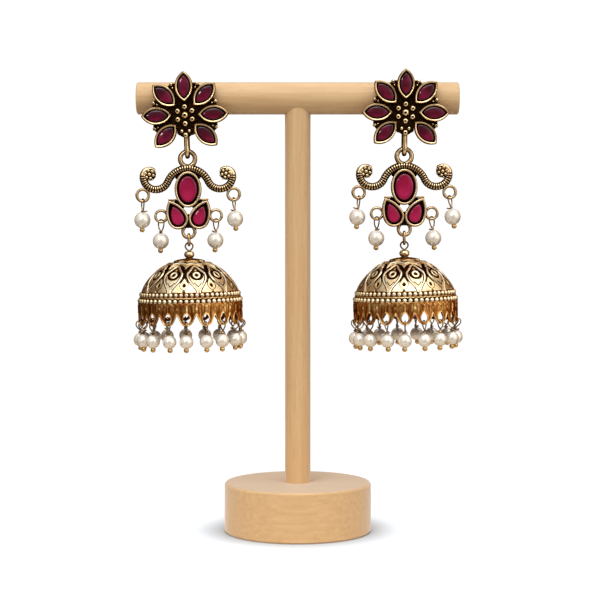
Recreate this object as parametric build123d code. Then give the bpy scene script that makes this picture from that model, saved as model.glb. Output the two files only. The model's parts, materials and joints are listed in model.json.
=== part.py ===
"""A pair of three-tier jhumka earrings on a wooden T-bar display stand.

Millimetres. +Z is up, -Y is the front, and the origin is the centre of the base's underside.
Each earring is a flower stud, a bail, a connector set with three stones, a link and a domed bell.
The hanging pieces are drawn in frames of their own, whose origin is the hinge that they hang from.
"""

import math
import os

from build123d import *

# ---- stand -------------------------------------------------------------------
base_diameter = 46.0
base_height = 15.4
base_edge = 0.5
post_diameter = 8.0
post_socket_depth = 8.0
bar_diameter = 10.0
bar_length = 100.0
bar_edge = 0.6
stand_height = 140.3
glue_gap = 0.05
bar_axis_z = stand_height - bar_diameter / 2

# ---- how each earring sits on the bar ----------------------------------------
# x is the ear post's place along the bar and rise its height above the bar's axis,
# roll turns the stud about it, the leans are how far off plumb the tiers settle, and bell_turn
# is how far each bell has turned about its own axis, in degrees. link_straight is the length of
# the straight sides of that earring's link, which is bent by hand, and drop_leans are how far each
# pearl drop under the connector hangs aslant, in degrees towards the left.
earrings = {
    "left": {
        "x": -34.85,
        "rise": -0.2,
        "roll": 2.2,
        "lean": 0.8,
        "bell_lean": 1.1,
        "bell_turn": -0.5,
        "link_straight": 1.2,
        "drop_leans": (2.5, 2.5, 2.9, -3.4),
    },
    "right": {
        "x": 33.2,
        "rise": 0.6,
        "roll": -0.6,
        "lean": 0.2,
        "bell_lean": 1.3,
        "bell_turn": -4.3,
        "link_straight": 1.6,
        "drop_leans": (4.7, 1.9, -5.1, -9.1),
    },
}
stud_gap = 0.3  # plate's back to the front of the bar
ear_post_radius = 0.45
ear_post_length = 11.0
ear_hole_radius = 0.6

# ---- stud --------------------------------------------------------------------
flower_drop = 5.4  # ear post to the flower's centre
plate_thickness = 1.0
bezel_front = 2.6  # bezel's lip, ahead of the plate's back
petal_length = 9.4
petal_width = 5.5
petal_reach = 8.8  # flower's centre to a petal's centre
petal_angles = (90, 135, 180, 225, -45, 0, 45)
gap_angles = (22.5, 67.5, 112.5, 157.5, 202.5, -22.5)
bezel_wall = 0.7
stone_gap = 0.12
core_radius = 5.6
lobe_radius = 2.6
lobe_reach = 7.9
bead_ring_radius = 2.48
centre_bead = 0.95
ring_bead = 0.7
edge_bead = 0.42
edge_bead_reach = 10.35
tab_bottom = 6.8  # flower's centre to the tab's end
tab_bead_drop = 6.1
tab_bead = 0.72
pair_bead_offset = (1.1, -4.85)

# ---- staple behind the stud, and the bail on it --------------------------------
staple_radius = 0.8
staple_drop = 5.2  # flower's centre to the staple's bar
staple_reach = 3.1  # plate's back to the staple's bar
staple_half_width = 1.95
bail_wire = 0.75
bail_half_width = 1.75
bail_straight = 5.6

# ---- connector, measured from the centre of its top ring ------------------------
ring_clearance = 0.12  # between a ring and the wire that it hangs on
top_ring = {"mean": 2.24, "wire": 0.64}
rope_radius = 1.2
rope_top_z = -2.9
rope_low = (9.9, -9.35)
rope_crown_radius = 6.85
rope_end_angle = 10.0
curl_radius = 2.1
curl_tube = 0.85
curl_end_angle = 115.0
boss_centre = (11.85, -4.6)
boss_radius = 2.1
boss_half_depth = 1.15
frame_back = 0.8
frame_floor = 0.0
rim_front = 1.6
oval_centre_z = -9.42
oval_outer = (4.15, 5.62)
oval_opening = (3.35, 4.75)
pear_centre = (3.47, -18.6)
pear_tilt = 25.3
pear_outer = (3.22, 6.4)  # round end's radius, and its centre to the tip
pear_opening = (2.62, 5.3)
side_ring = {"mean": 1.85, "wire": 0.46, "x": 14.1, "z": -11.1}
inner_ring = {"mean": 1.79, "wire": 0.42, "x": 8.5, "z": -17.65}
foot_ring = {"mean": 1.88, "wire": 0.53, "x": 0.0, "z": -22.55}
# the web that joins the three settings behind their rims, right half, from the middle outwards
web_outline = (
    (0, -17.15),
    (0.8, -15.05),
    (0.95, -14.6),
    (3.6, -12.3),
    (4.8, -13.2),
    (1.6, -17.0),
    (1.2, -20.8),
    (0, -21.0),
)

# ---- stones --------------------------------------------------------------------
girdle = 0.7
crown = 0.7
crown_inset = 0.5

# ---- pearl drops under the connector --------------------------------------------
drop_pearl_radius = 2.5
drop_pearl_fall = 7.7  # ring's centre to the pearl's centre
pin_wire = 0.25
pin_hole = 0.4
pin_ball = 0.8
# which ring each drop hangs on, and its loop's turn about the vertical in degrees
connector_drops = (
    {"ring": side_ring, "side": -1, "turn": 30},
    {"ring": inner_ring, "side": -1, "turn": 25},
    {"ring": inner_ring, "side": 1, "turn": -20},
    {"ring": side_ring, "side": 1, "turn": -20},
)
drop_loop = {"half_width": 0.95, "straight": 1.5}

# ---- link between the connector and the bell ------------------------------------
link_wire = 0.42
link_half_width = 1.07

# ---- bell, measured from the hinge at its eye ------------------------------------
eye = {"mean": 1.15, "wire": 0.25}
eye_clearance = 0.08
stem_radius = 0.3
finial = {"top": -1.9, "bottom": -4.0, "radius": 1.6, "hole": 0.4}
bell_wall = 0.7
dome_radius = 16.2
dome_top_z = -4.37
collar = {"radius": 4.8, "rise": 0.32}
band = {"top": -14.3, "bottom": -17.6, "radius": 15.7}
skirt_radius = 16.2
notch_z = -21.0
hole_z = -22.35
hole_radius = 0.95
lobe_bottom_z = -24.45
lobe_count = 17
dome_centre_z = dome_top_z - dome_radius

# ---- pearl drops round the bell ---------------------------------------------------
bell_pearl_radius = 2.1
bell_loop_mean = 1.3
bell_pearl_z = -29.1
# how each drop hangs off plumb: sideways and outwards, in degrees, front drop first
bell_drop_sideways = (2, -1, 3, -2, 3, -2, 3, -4, 3, 0, -3, 4, -3, 3, -2, 2, -3)
bell_drop_outwards = (0, 1, 0, 2, 3, 0, 1, 0, -1, 1, 0, 1, 3, 1, 0, 1, 0)


def front(sketch, back, front_face):
    """A flat outline in X and Z made solid between two distances ahead of y = 0."""
    return extrude(Plane.XZ.offset(back) * sketch, amount=front_face - back)


def rod(radius, length):
    """A round rod that stands on the origin."""
    return Cylinder(radius, length, align=(Align.CENTER, Align.CENTER, Align.MIN))


def ball(radius, x, ahead, z):
    return Pos(x, -ahead, z) * Sphere(radius)


def ring(size, x, z):
    """A round-wire ring that faces the front."""
    return Pos(x, 0, z) * Rot(90, 0, 0) * Torus(size["mean"], size["wire"])


def polar(reach, angle):
    return reach * math.cos(math.radians(angle)), reach * math.sin(math.radians(angle))


def marquise(length, width):
    """Two equal arcs that meet in a point at each end, the long way along Y."""
    tip, waist = length / 2, width / 2
    right = ThreePointArc((0, -tip), (waist, 0), (0, tip))
    left = ThreePointArc((0, tip), (-waist, 0), (0, -tip))
    return make_face([right, left])


def pear(radius, tip):
    """A half-round end centred on the origin, whose full sides curve in to a point at +Y."""
    side = (radius**2 + tip**2) / (2 * radius)
    x, y = polar(side, math.degrees(math.asin(tip / side)) / 2)
    x -= side - radius
    return make_face(
        [
            ThreePointArc((radius, 0), (0, -radius), (-radius, 0)),
            ThreePointArc((-radius, 0), (-x, y), (0, tip)),
            ThreePointArc((0, tip), (x, y), (radius, 0)),
        ]
    )


def cut_stone(outline, seat):
    """A stone with an upright girdle and a sloping crown round a flat table."""
    stone = front(outline, seat, seat + girdle + crown)
    table = stone.faces().sort_by(Axis.Y)[0]
    return chamfer(table.outer_wire().edges(), crown, crown_inset)


def oval_loop(half_width, straight, wire):
    """A closed loop of wire in the YZ plane, with its top bend centred on the origin."""
    path = Wire(
        [
            Line((0, half_width, 0), (0, half_width, -straight)),
            ThreePointArc(
                (0, half_width, -straight),
                (0, 0, -straight - half_width),
                (0, -half_width, -straight),
            ),
            Line((0, -half_width, -straight), (0, -half_width, 0)),
            ThreePointArc((0, -half_width, 0), (0, 0, half_width), (0, half_width, 0)),
        ]
    )
    return sweep(Plane((0, half_width, 0), z_dir=(0, 0, -1)) * Circle(wire), path=path)


# ---- stand ------------------------------------------------------------------------
def stand_base():
    block = Pos(0, 0, base_height / 2) * Cylinder(base_diameter / 2, base_height)
    block = chamfer(block.edges().filter_by(GeomType.CIRCLE), base_edge)
    socket = rod(post_diameter / 2 + glue_gap, post_socket_depth + 1)
    return block - Pos(0, 0, base_height - post_socket_depth) * socket


def stand_post():
    foot = base_height - post_socket_depth
    post = Pos(0, 0, foot) * rod(post_diameter / 2, bar_axis_z - foot)
    saddle = Pos(0, 0, bar_axis_z) * Rot(0, 90, 0) * Cylinder(bar_diameter / 2 + glue_gap, bar_length)
    return post - saddle


def stand_bar():
    bar = Rot(0, 90, 0) * Cylinder(bar_diameter / 2, bar_length)
    bar = fillet(bar.edges().filter_by(GeomType.CIRCLE), bar_edge)
    hole = Rot(90, 0, 0) * Cylinder(ear_hole_radius, 2 * bar_diameter)
    for place in earrings.values():
        bar -= Pos(place["x"], 0, place["rise"]) * hole
    return Pos(0, 0, bar_axis_z) * bar


# ---- stud, in a frame whose origin is the ear post at the plate's back ----------------
def petal_place(angle):
    """The place of one petal's outline about the flower's centre."""
    return Rot(0, 0, angle - 90) * Pos(0, petal_reach)


def stud_flower():
    opening = marquise(petal_length - 3.0 * bezel_wall, petal_width - 2 * bezel_wall)
    rim = marquise(petal_length, petal_width) - opening
    outline = Circle(core_radius) + make_face(
        Polyline((-2.8, -4.8), (2.8, -4.8), (0.9, -tab_bottom), (-0.9, -tab_bottom), close=True)
    )
    for angle in gap_angles:
        outline += Pos(*polar(lobe_reach, angle)) * Circle(lobe_radius)
    for angle in petal_angles:
        outline += petal_place(angle) * marquise(petal_length, petal_width)
    flower = front(outline, 0, plate_thickness)
    for angle in petal_angles:
        flower += front(petal_place(angle) * rim, plate_thickness / 2, bezel_front)
    flower += ball(centre_bead, 0, plate_thickness + 0.15, 0)
    for step in range(6):
        x, z = polar(bead_ring_radius, 90 + 60 * step)
        flower += ball(ring_bead, x, plate_thickness + 0.1, z)
    for angle in gap_angles:
        x, z = polar(edge_bead_reach, angle)
        flower += ball(edge_bead, x, plate_thickness, z)
    for side in (-1, 1):
        flower += ball(edge_bead, side * pair_bead_offset[0], plate_thickness, pair_bead_offset[1])
    flower += ball(tab_bead, 0, plate_thickness + 0.1, -tab_bead_drop)
    staple = Rot(0, 90, 0) * Cylinder(staple_radius, 2 * staple_half_width)
    for side in (-1, 1):
        corner = Pos(side * staple_half_width, 0, 0)
        staple += corner * Rot(90, 0, 0) * rod(staple_radius, staple_reach + 0.5)
        staple += corner * Sphere(staple_radius)
    return Pos(0, 0, -flower_drop) * (flower + Pos(0, staple_reach, -staple_drop) * staple)


def petal_stones():
    outline = marquise(
        petal_length - 3.0 * bezel_wall - 3 * stone_gap, petal_width - 2 * bezel_wall - 2 * stone_gap
    )
    places = [petal_place(angle) for angle in petal_angles]
    seat = plate_thickness + 0.02
    return [Pos(0, 0, -flower_drop) * cut_stone(place * outline, seat) for place in places]


def ear_post():
    shaft = Rot(-90, 0, 0) * rod(ear_post_radius, ear_post_length)
    tip = shaft.edges().filter_by(GeomType.CIRCLE).sort_by(Axis.Y)[-1]
    return fillet(tip, ear_post_radius * 0.7)


def bail():
    return Pos(0, staple_reach, -flower_drop - staple_drop) * oval_loop(
        bail_half_width, bail_straight, bail_wire
    )


# ---- connector, in a frame whose origin is the wire that its top ring hangs on ----------
ring_fall = top_ring["mean"] - top_ring["wire"] - bail_wire - ring_clearance


def rope_path():
    """Centre line of the rope from its apex to its right-hand end: a crown arc, then a hollow arc."""
    low_x, low_z = rope_low
    fall = rope_top_z - low_z
    both_radii = (low_x**2 + fall**2) / (2 * fall)
    hollow = both_radii - rope_crown_radius
    crown_centre = (0, rope_top_z - rope_crown_radius)
    hollow_centre = (low_x, low_z + hollow)
    bend = math.degrees(math.atan2(hollow_centre[1] - crown_centre[1], low_x))

    def on(centre, radius, angle):
        x, z = polar(radius, angle)
        return centre[0] + x, 0, centre[1] + z

    crown = ThreePointArc(
        on(crown_centre, rope_crown_radius, 90),
        on(crown_centre, rope_crown_radius, (90 + bend) / 2),
        on(crown_centre, rope_crown_radius, bend),
    )
    start = 180 + bend
    end = 360 + rope_end_angle
    dip = ThreePointArc(
        on(hollow_centre, hollow, start),
        on(hollow_centre, hollow, (start + end) / 2),
        on(hollow_centre, hollow, end),
    )
    out = polar(hollow - curl_radius, rope_end_angle)
    curl_centre = (hollow_centre[0] + out[0], hollow_centre[1] + out[1])
    middle = (rope_end_angle + curl_end_angle) / 2
    curl = ThreePointArc(
        on(curl_centre, curl_radius, rope_end_angle),
        on(curl_centre, curl_radius, middle),
        on(curl_centre, curl_radius, curl_end_angle),
    )
    return crown, dip, curl


def tube(edges, radius):
    path = Wire(list(edges))
    start = path @ 0
    return sweep(Plane(start, z_dir=path % 0) * Circle(radius), path=path)


def half_rope():
    crown, dip, curl = rope_path()
    x, z = boss_centre
    boss = Pos(x, 0, z) * Rot(90, 0, 0) * Cylinder(boss_radius, 2 * boss_half_depth)
    boss = fillet(boss.edges().filter_by(GeomType.CIRCLE), 0.6)
    tip = curl @ 1
    end = Pos(tip.X, tip.Y, tip.Z) * Sphere(curl_tube)
    return tube((crown, dip), rope_radius) + tube((curl,), curl_tube) + end + boss


def setting(outer):
    """The block that a stone's seat is sunk into."""
    return front(outer, -frame_back, rim_front)


def seat(opening):
    """The recess of a setting, down to the floor that the stone sits on."""
    return front(opening, frame_floor, rim_front + 1)


def pear_place(side):
    return Pos(side * pear_centre[0], pear_centre[1]) * Rot(0, 0, -side * pear_tilt)


def connector_frame():
    half = half_rope()
    frame = half + mirror(half, Plane.YZ)
    frame += setting(Pos(0, oval_centre_z) * Ellipse(*oval_outer))
    for side in (-1, 1):
        frame += setting(pear_place(side) * pear(*pear_outer))
        frame += ring(side_ring, side * side_ring["x"], side_ring["z"])
        frame += ring(inner_ring, side * inner_ring["x"], inner_ring["z"])
    web = make_face(Polyline(*web_outline, close=True))
    frame += front(web + mirror(web, Plane.YZ), -frame_back, frame_floor)
    frame += ring(foot_ring, 0, foot_ring["z"])
    frame += ring(top_ring, 0, 0)
    frame -= seat(Pos(0, oval_centre_z) * Ellipse(*oval_opening))
    for side in (-1, 1):
        frame -= seat(pear_place(side) * pear(*pear_opening))
    return frame


def oval_stone():
    outline = Ellipse(oval_opening[0] - stone_gap, oval_opening[1] - stone_gap)
    return cut_stone(Pos(0, oval_centre_z) * outline, frame_floor + 0.02)


def pear_stone(side):
    outline = pear(pear_opening[0] - stone_gap, pear_opening[1] - 2 * stone_gap)
    return cut_stone(pear_place(side) * outline, frame_floor + 0.02)


def drop_place(drop, lean):
    """Where a drop hangs: the wire at the foot of its ring."""
    size = drop["ring"]
    x, z = drop["side"] * size["x"], size["z"] - size["mean"]
    return Pos(x, 0, z) * Rot(0, lean, 0)


def drop_pin(drop):
    """A drop's pin, from the wire at the top of its loop."""
    size = drop["ring"]
    pearl_z = size["mean"] - drop_pearl_fall
    half, straight = drop_loop["half_width"], drop_loop["straight"]
    loop = Rot(0, 0, drop["turn"]) * oval_loop(half, straight, pin_wire)
    foot = pearl_z - drop_pearl_radius - 0.6 * pin_ball
    top = -straight - half
    stem = Pos(0, 0, foot) * rod(pin_wire, top - foot)
    return loop + stem + Pos(0, 0, foot) * Sphere(pin_ball)


def drilled_pearl(radius):
    pearl = Sphere(radius) - Cylinder(pin_hole, 3 * radius)
    flat = Pos(0, 0, -radius - pin_ball * 0.6) * Sphere(pin_ball + 0.06)
    return pearl - flat


def drop_pearl(drop):
    fall = drop["ring"]["mean"] - drop_pearl_fall
    return Pos(0, 0, fall) * drilled_pearl(drop_pearl_radius)


# ---- link and bell -------------------------------------------------------------------
link_pivot_z = foot_ring["z"] - foot_ring["mean"]


def link(side):
    return oval_loop(link_half_width, earrings[side]["link_straight"], link_wire)


def bell():
    """The dome, its banded waist and a scalloped skirt, as one hollow wall."""
    inner = dome_radius - bell_wall
    dome_r = math.sqrt(dome_radius**2 - (band["top"] - dome_centre_z) ** 2)
    inner_z = band["bottom"] + bell_wall
    inner_r = math.sqrt(inner**2 - (inner_z - dome_centre_z) ** 2)
    hole = finial["hole"]
    collar_outer = dome_radius + collar["rise"]
    collar_angle = math.degrees(math.acos(collar["radius"] / collar_outer))
    collar_edge = polar(collar_outer, collar_angle)
    under_edge = polar(dome_radius, collar_angle)

    def at(point):
        return point[0], 0, dome_centre_z + point[1]

    def rim(radius, x):
        return x, 0, dome_centre_z + math.sqrt(radius**2 - x**2)

    def between(radius, first, last):
        return at(polar(radius, (first + last) / 2))

    hole_top = math.degrees(math.acos(hole / collar_outer))
    band_angle = math.degrees(math.asin((band["top"] - dome_centre_z) / dome_radius))
    inner_angle = math.degrees(math.asin((inner_z - dome_centre_z) / inner))
    inner_top = math.degrees(math.acos(hole / inner))
    skirt_inner = skirt_radius - bell_wall
    edges = [
        ThreePointArc(
            rim(collar_outer, hole), between(collar_outer, hole_top, collar_angle), at(collar_edge)
        ),
        Line(at(collar_edge), at(under_edge)),
        ThreePointArc(
            at(under_edge), between(dome_radius, collar_angle, band_angle), (dome_r, 0, band["top"])
        ),
        Polyline(
            (dome_r, 0, band["top"]),
            (band["radius"], 0, band["top"]),
            (band["radius"], 0, band["bottom"]),
            (skirt_radius, 0, band["bottom"]),
            (skirt_radius, 0, lobe_bottom_z),
            (skirt_inner, 0, lobe_bottom_z),
            (skirt_inner, 0, inner_z),
            (inner_r, 0, inner_z),
        ),
        ThreePointArc((inner_r, 0, inner_z), between(inner, inner_angle, inner_top), rim(inner, hole)),
        Line(rim(inner, hole), rim(collar_outer, hole)),
    ]
    shell = revolve(make_face(edges), axis=Axis.Z)
    half_pitch = skirt_radius * math.sin(math.pi / lobe_count) + 0.02
    waist = 0.6
    notch = make_face(
        [
            Line((0, notch_z), (waist, hole_z)),
            ThreePointArc((waist, hole_z), (1.5, lobe_bottom_z + 0.7), (half_pitch, lobe_bottom_z)),
            Polyline(
                (half_pitch, lobe_bottom_z),
                (half_pitch, lobe_bottom_z - 1),
                (-half_pitch, lobe_bottom_z - 1),
                (-half_pitch, lobe_bottom_z),
            ),
            ThreePointArc((-half_pitch, lobe_bottom_z), (-1.5, lobe_bottom_z + 0.7), (-waist, hole_z)),
            Line((-waist, hole_z), (0, notch_z)),
        ]
    )
    notch_tool = front(notch, skirt_inner - 2, skirt_radius + 2)
    hole_tool = Pos(0, -skirt_radius, hole_z) * Rot(90, 0, 0) * Cylinder(hole_radius, 4)
    for step in range(lobe_count):
        turn = 360 / lobe_count * step
        shell -= Rot(0, 0, turn + 180 / lobe_count) * notch_tool
        shell -= Rot(0, 0, turn) * hole_tool
    return shell


def finial_bead():
    middle = (finial["top"] + finial["bottom"]) / 2
    half = (finial["top"] - finial["bottom"]) / 2
    hole = finial["hole"]
    top, foot = (hole, 0, middle + half), (hole, 0, middle - half)
    bulge = make_face([ThreePointArc(top, (finial["radius"], 0, middle), foot), Line(foot, top)])
    return revolve(bulge, axis=Axis.Z)


def eye_pin():
    """The wire through bead and dome: an eye above, and a flat head under the dome."""
    centre_z = link_wire + eye_clearance + eye["wire"] - eye["mean"]
    head_z = dome_top_z - bell_wall - 0.1
    loop = ring(eye, 0, centre_z)
    top = centre_z - eye["mean"]
    stem = Pos(0, 0, head_z) * rod(stem_radius, top - head_z)
    head = Pos(0, 0, head_z) * Cylinder(1.1, 0.5, align=(Align.CENTER, Align.CENTER, Align.MAX))
    return loop + stem + head


def bell_drop_places():
    """One place for each drop: the wire of its loop where it rests in the hole, front drop first."""
    seat_z = hole_z - hole_radius + pin_wire + 0.1
    reach = skirt_radius - bell_wall / 2
    places = []
    for step in range(lobe_count):
        lean = Rot(bell_drop_outwards[step], 0, 0) * Rot(0, bell_drop_sideways[step], 0)
        places.append(Rot(0, 0, 360 / lobe_count * step) * Pos(0, -reach, seat_z) * lean)
    return places


def bell_drop():
    """One drop's pearl and pin, from the wire at the top of its loop."""
    seat_z = hole_z - hole_radius + pin_wire + 0.1
    loop = Pos(0, 0, -bell_loop_mean) * Rot(0, 90, 0) * Torus(bell_loop_mean, pin_wire)
    foot = bell_pearl_z - seat_z - bell_pearl_radius - 0.6 * pin_ball
    top = -2 * bell_loop_mean
    stem = Pos(0, 0, foot) * rod(pin_wire, top - foot)
    pin = loop + stem + Pos(0, 0, foot) * Sphere(pin_ball)
    pearl = Pos(0, 0, bell_pearl_z - seat_z) * drilled_pearl(bell_pearl_radius)
    return pearl, pin


# ---- assembly ---------------------------------------------------------------------------
pearl_of_bell, pin_of_bell = bell_drop()
stud_pieces = {"stud_flower": stud_flower(), "stud_post": ear_post(), "bail": bail()}
for number, stone in enumerate(petal_stones(), 1):
    stud_pieces[f"petal_stone_{number}"] = stone

connector_pieces = {"connector_frame": connector_frame(), "oval_stone": oval_stone()}
for number, side in enumerate((-1, 1), 1):
    connector_pieces[f"pear_stone_{number}"] = pear_stone(side)
connector_hung = [(drop, drop_pearl(drop), drop_pin(drop)) for drop in connector_drops]

bell_pieces = {
    "bell": bell(),
    "finial_bead": finial_bead(),
    "eye_pin": eye_pin(),
    "bell_pearls": Compound(children=[place * pearl_of_bell for place in bell_drop_places()]),
    "bell_pins": Compound(children=[place * pin_of_bell for place in bell_drop_places()]),
}

bail_foot = (0, staple_reach, -flower_drop - staple_drop - bail_straight - bail_half_width)


def frames(side):
    """Where an earring's stud, connector, link and bell frames stand in the row's frame."""
    place = earrings[side]
    post = Pos(place["x"], -bar_diameter / 2 - stud_gap, bar_axis_z + place["rise"])
    stud = post * Rot(0, -place["roll"], 0)
    hung = Pos(*(stud * Pos(*bail_foot)).position) * Rot(0, -place["lean"], 0)
    ring_centre = hung * Pos(0, 0, -ring_fall)
    bell_pivot_z = link_pivot_z - place["link_straight"] - link_half_width
    settle = Rot(0, place["lean"] - place["bell_lean"], 0)
    return {
        "stud": stud,
        "staple": stud * Pos(0, staple_reach, -flower_drop - staple_drop),
        "connector_hinge": hung,
        "connector": ring_centre,
        "link": ring_centre * Pos(0, 0, link_pivot_z),
        "bell": ring_centre * Pos(0, 0, bell_pivot_z) * settle,
    }


def main():
    os.makedirs("parts", exist_ok=True)
    nodes = {"stand_base": stand_base(), "stand_post": stand_post(), "stand_bar": stand_bar()}
    for side in earrings:
        at = frames(side)
        for name, piece in stud_pieces.items():
            nodes[f"{side}_{name}"] = at["stud"] * piece
        for name, piece in connector_pieces.items():
            nodes[f"{side}_{name}"] = at["connector"] * piece
        for number, (drop, pearl, pin) in enumerate(connector_hung, 1):
            hung = at["connector"] * drop_place(drop, earrings[side]["drop_leans"][number - 1])
            nodes[f"{side}_drop_pearl_{number}"] = hung * pearl
            nodes[f"{side}_drop_pin_{number}"] = hung * pin
        nodes[f"{side}_link"] = at["link"] * link(side)
        turned = at["bell"] * Rot(0, 0, earrings[side]["bell_turn"])
        for name, piece in bell_pieces.items():
            square = name in ("finial_bead", "eye_pin")
            nodes[f"{side}_{name}"] = (at["bell"] if square else turned) * piece
    for name, shape in nodes.items():
        export_step(shape, f"parts/{name}.step")


main()
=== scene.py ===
import json
from math import atan2, cos, degrees, hypot, pi, radians, sin, sqrt

import bmesh
import bpy
import numpy as np
from mathutils import Matrix, Vector


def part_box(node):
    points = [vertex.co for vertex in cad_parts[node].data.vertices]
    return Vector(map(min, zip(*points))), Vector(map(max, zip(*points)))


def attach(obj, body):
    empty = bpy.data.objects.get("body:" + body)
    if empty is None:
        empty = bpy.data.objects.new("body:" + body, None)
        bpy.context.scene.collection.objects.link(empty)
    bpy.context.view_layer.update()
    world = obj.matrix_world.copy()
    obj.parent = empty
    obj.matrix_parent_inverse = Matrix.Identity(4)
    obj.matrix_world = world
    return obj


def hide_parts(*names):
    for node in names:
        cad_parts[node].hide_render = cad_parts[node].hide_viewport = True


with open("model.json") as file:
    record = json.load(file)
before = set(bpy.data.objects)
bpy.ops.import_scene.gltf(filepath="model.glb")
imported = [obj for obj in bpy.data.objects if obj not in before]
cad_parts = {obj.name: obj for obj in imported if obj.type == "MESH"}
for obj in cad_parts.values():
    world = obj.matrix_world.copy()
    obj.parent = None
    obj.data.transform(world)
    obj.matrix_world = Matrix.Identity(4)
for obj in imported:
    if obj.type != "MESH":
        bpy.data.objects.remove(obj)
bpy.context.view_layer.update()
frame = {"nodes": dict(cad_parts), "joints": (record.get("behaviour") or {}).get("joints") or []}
print("frame loaded:", len(frame["nodes"]), "nodes")

# Shapes are worked out in millimetres, in the frame of the tier they hang in: X right, Y backwards, Z up.
# A patch is (points, a value for each point, faces). The value is 0 in a recess that keeps its dark oxide and
# 1 on a polished crest. It also carries painted light: painted highlight on crests that face the front,
# painted shade on their edges, and painted glow and painted shade in the stones.
rng = np.random.default_rng(17)
frontwards = Matrix.Rotation(pi / 2, 4, "X")  # turns a shape made upwards to face the front


def eased(low, high, value):
    t = np.clip((np.asarray(value, float) - low) / (high - low), 0, 1)
    return t * t * (3 - 2 * t)


# A smooth line through given points, with so many steps between each two.
def smoothLine(points, steps=8, closed=False):
    p = np.asarray(points, float)
    p = np.vstack([p[-1], p, p[0], p[1]]) if closed else np.vstack([2 * p[0] - p[1], p, 2 * p[-1] - p[-2]])
    t = np.arange(steps)[:, None] / steps
    line = []
    for a, b, c, d in zip(p, p[1:], p[2:], p[3:]):
        line.append(b + t * ((c - a) + t * ((2 * a - 5 * b + 4 * c - d) + t * (3 * b - a - 3 * c + d))) / 2)
    return np.vstack(line if closed else line + [p[-2:-1]])


# A width that changes along a line, from a few given (where, width) pairs.
def smoothWidth(pairs):
    line = smoothLine(pairs, 12)
    return lambda where: np.interp(where, line[:, 0], line[:, 1], left=0, right=line[-1, 1])


# Part of a circle in X and Z, between two angles in degrees.
def arc(centre, radius, start, end, step=0.1):
    count = max(3, int(abs(radians(end - start)) * radius / step) + 1)
    angles = np.radians(np.linspace(start, end, count))
    return np.stack([centre[0] + radius * np.cos(angles), 0 * angles, centre[1] + radius * np.sin(angles)], 1)


# So many directions, evenly all the way round.
def fullTurn(count):
    return np.linspace(0, 2 * pi, count, endpoint=False)


# Points round the upright axis. Azimuths are in radians, from the front to the right.
def roundAxis(radius, azimuth, z):
    return np.stack([radius * np.sin(azimuth), -radius * np.cos(azimuth), z], -1)


# How far across and up a point is that lies so far out in a direction, in degrees.
def polar(reach, angle):
    return reach * cos(radians(angle)), reach * sin(radians(angle))


# A path with points one step apart, and how far along it each is.
def evenly(path, step):
    lengths = np.concatenate([[0], np.cumsum(np.linalg.norm(np.diff(path, axis=0), axis=1))])
    along = np.linspace(0, lengths[-1], int(lengths[-1] / step) + 1)
    return np.stack([np.interp(along, lengths, path[:, axis]) for axis in range(3)], 1), along


# Quads over rows and columns of points. ringed closes the columns, looped closes the rows.
def skin(points, wear=1.0, ringed=True, looped=False):
    points = np.asarray(points, float)
    rows, cols = points.shape[:2]
    wear = np.asarray(wear, float)
    if wear.ndim == 1:
        wear = wear[:, None]
    r = np.arange(rows if looped else rows - 1)[:, None]
    c = np.arange(cols if ringed else cols - 1)[None, :]
    down, across = (r + 1) % rows, (c + 1) % cols
    corners = (r * cols + c, r * cols + across, down * cols + across, down * cols + c)
    faces = np.stack(np.broadcast_arrays(*corners), -1)
    return points.reshape(-1, 3), np.broadcast_to(wear, (rows, cols)).ravel(), faces.reshape(-1, 4)


def joined(patches):
    starts = np.cumsum([0] + [len(p[0]) for p in patches])
    return (
        np.vstack([p[0] for p in patches]),
        np.concatenate([p[1] for p in patches]),
        np.vstack([p[2] + start for p, start in zip(patches, starts)]),
    )


def placed(patch, matrix):
    m = np.array(matrix)
    return patch[0] @ m[:3, :3].T + m[:3, 3], patch[1], patch[2]


# A place so far to the right, ahead and up.
def at(x, ahead, z):
    return Matrix.Translation((x, -ahead, z))


# A turned shape about Z, from a profile of (radius, height, wear).
def turned(profile, cols=32):
    profile = np.array(profile, float)
    angles = fullTurn(cols)
    radius = profile[:, :1]
    axes = np.broadcast_arrays(radius * np.cos(angles), radius * np.sin(angles), profile[:, 1:2])
    return skin(np.stack(axes, -1), profile[:, 2])


# A granule soldered on to a surface, bright on top and dark where it meets the plate. A dimpled one has a
# dent whose dark middle is a painted reflection.
def granule(radius, cols=14, rows=7, sink=0.35, dimpled=False):
    angles = np.linspace(pi / 2, -sink, rows)
    profile = [(radius * cos(a), radius * sin(a), float(eased(0.0, 0.6, sin(a)))) for a in angles]
    if dimpled:
        # the dent's dark middle is a painted reflection
        dot = ((0.0, 0.72, 0.0), (0.26, 0.76, 0.02), (0.36, 0.92, 0.9))  # shares of the radius, and wear
        profile[:2] = [(radius * reach, radius * height, wear) for reach, height, wear in dot]
    return turned(profile, cols)


def ball(radius, wear=0.9, cols=18, rows=12):
    return turned([(radius * sin(a), radius * cos(a), wear) for a in np.linspace(0, pi, rows)], cols)


# A value for each point of a path, with the end ones repeated for the three rings that round each end.
def withEnds(values):
    return np.concatenate([values[:1]] * 3 + [values] + [values[-1:]] * 3)
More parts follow.
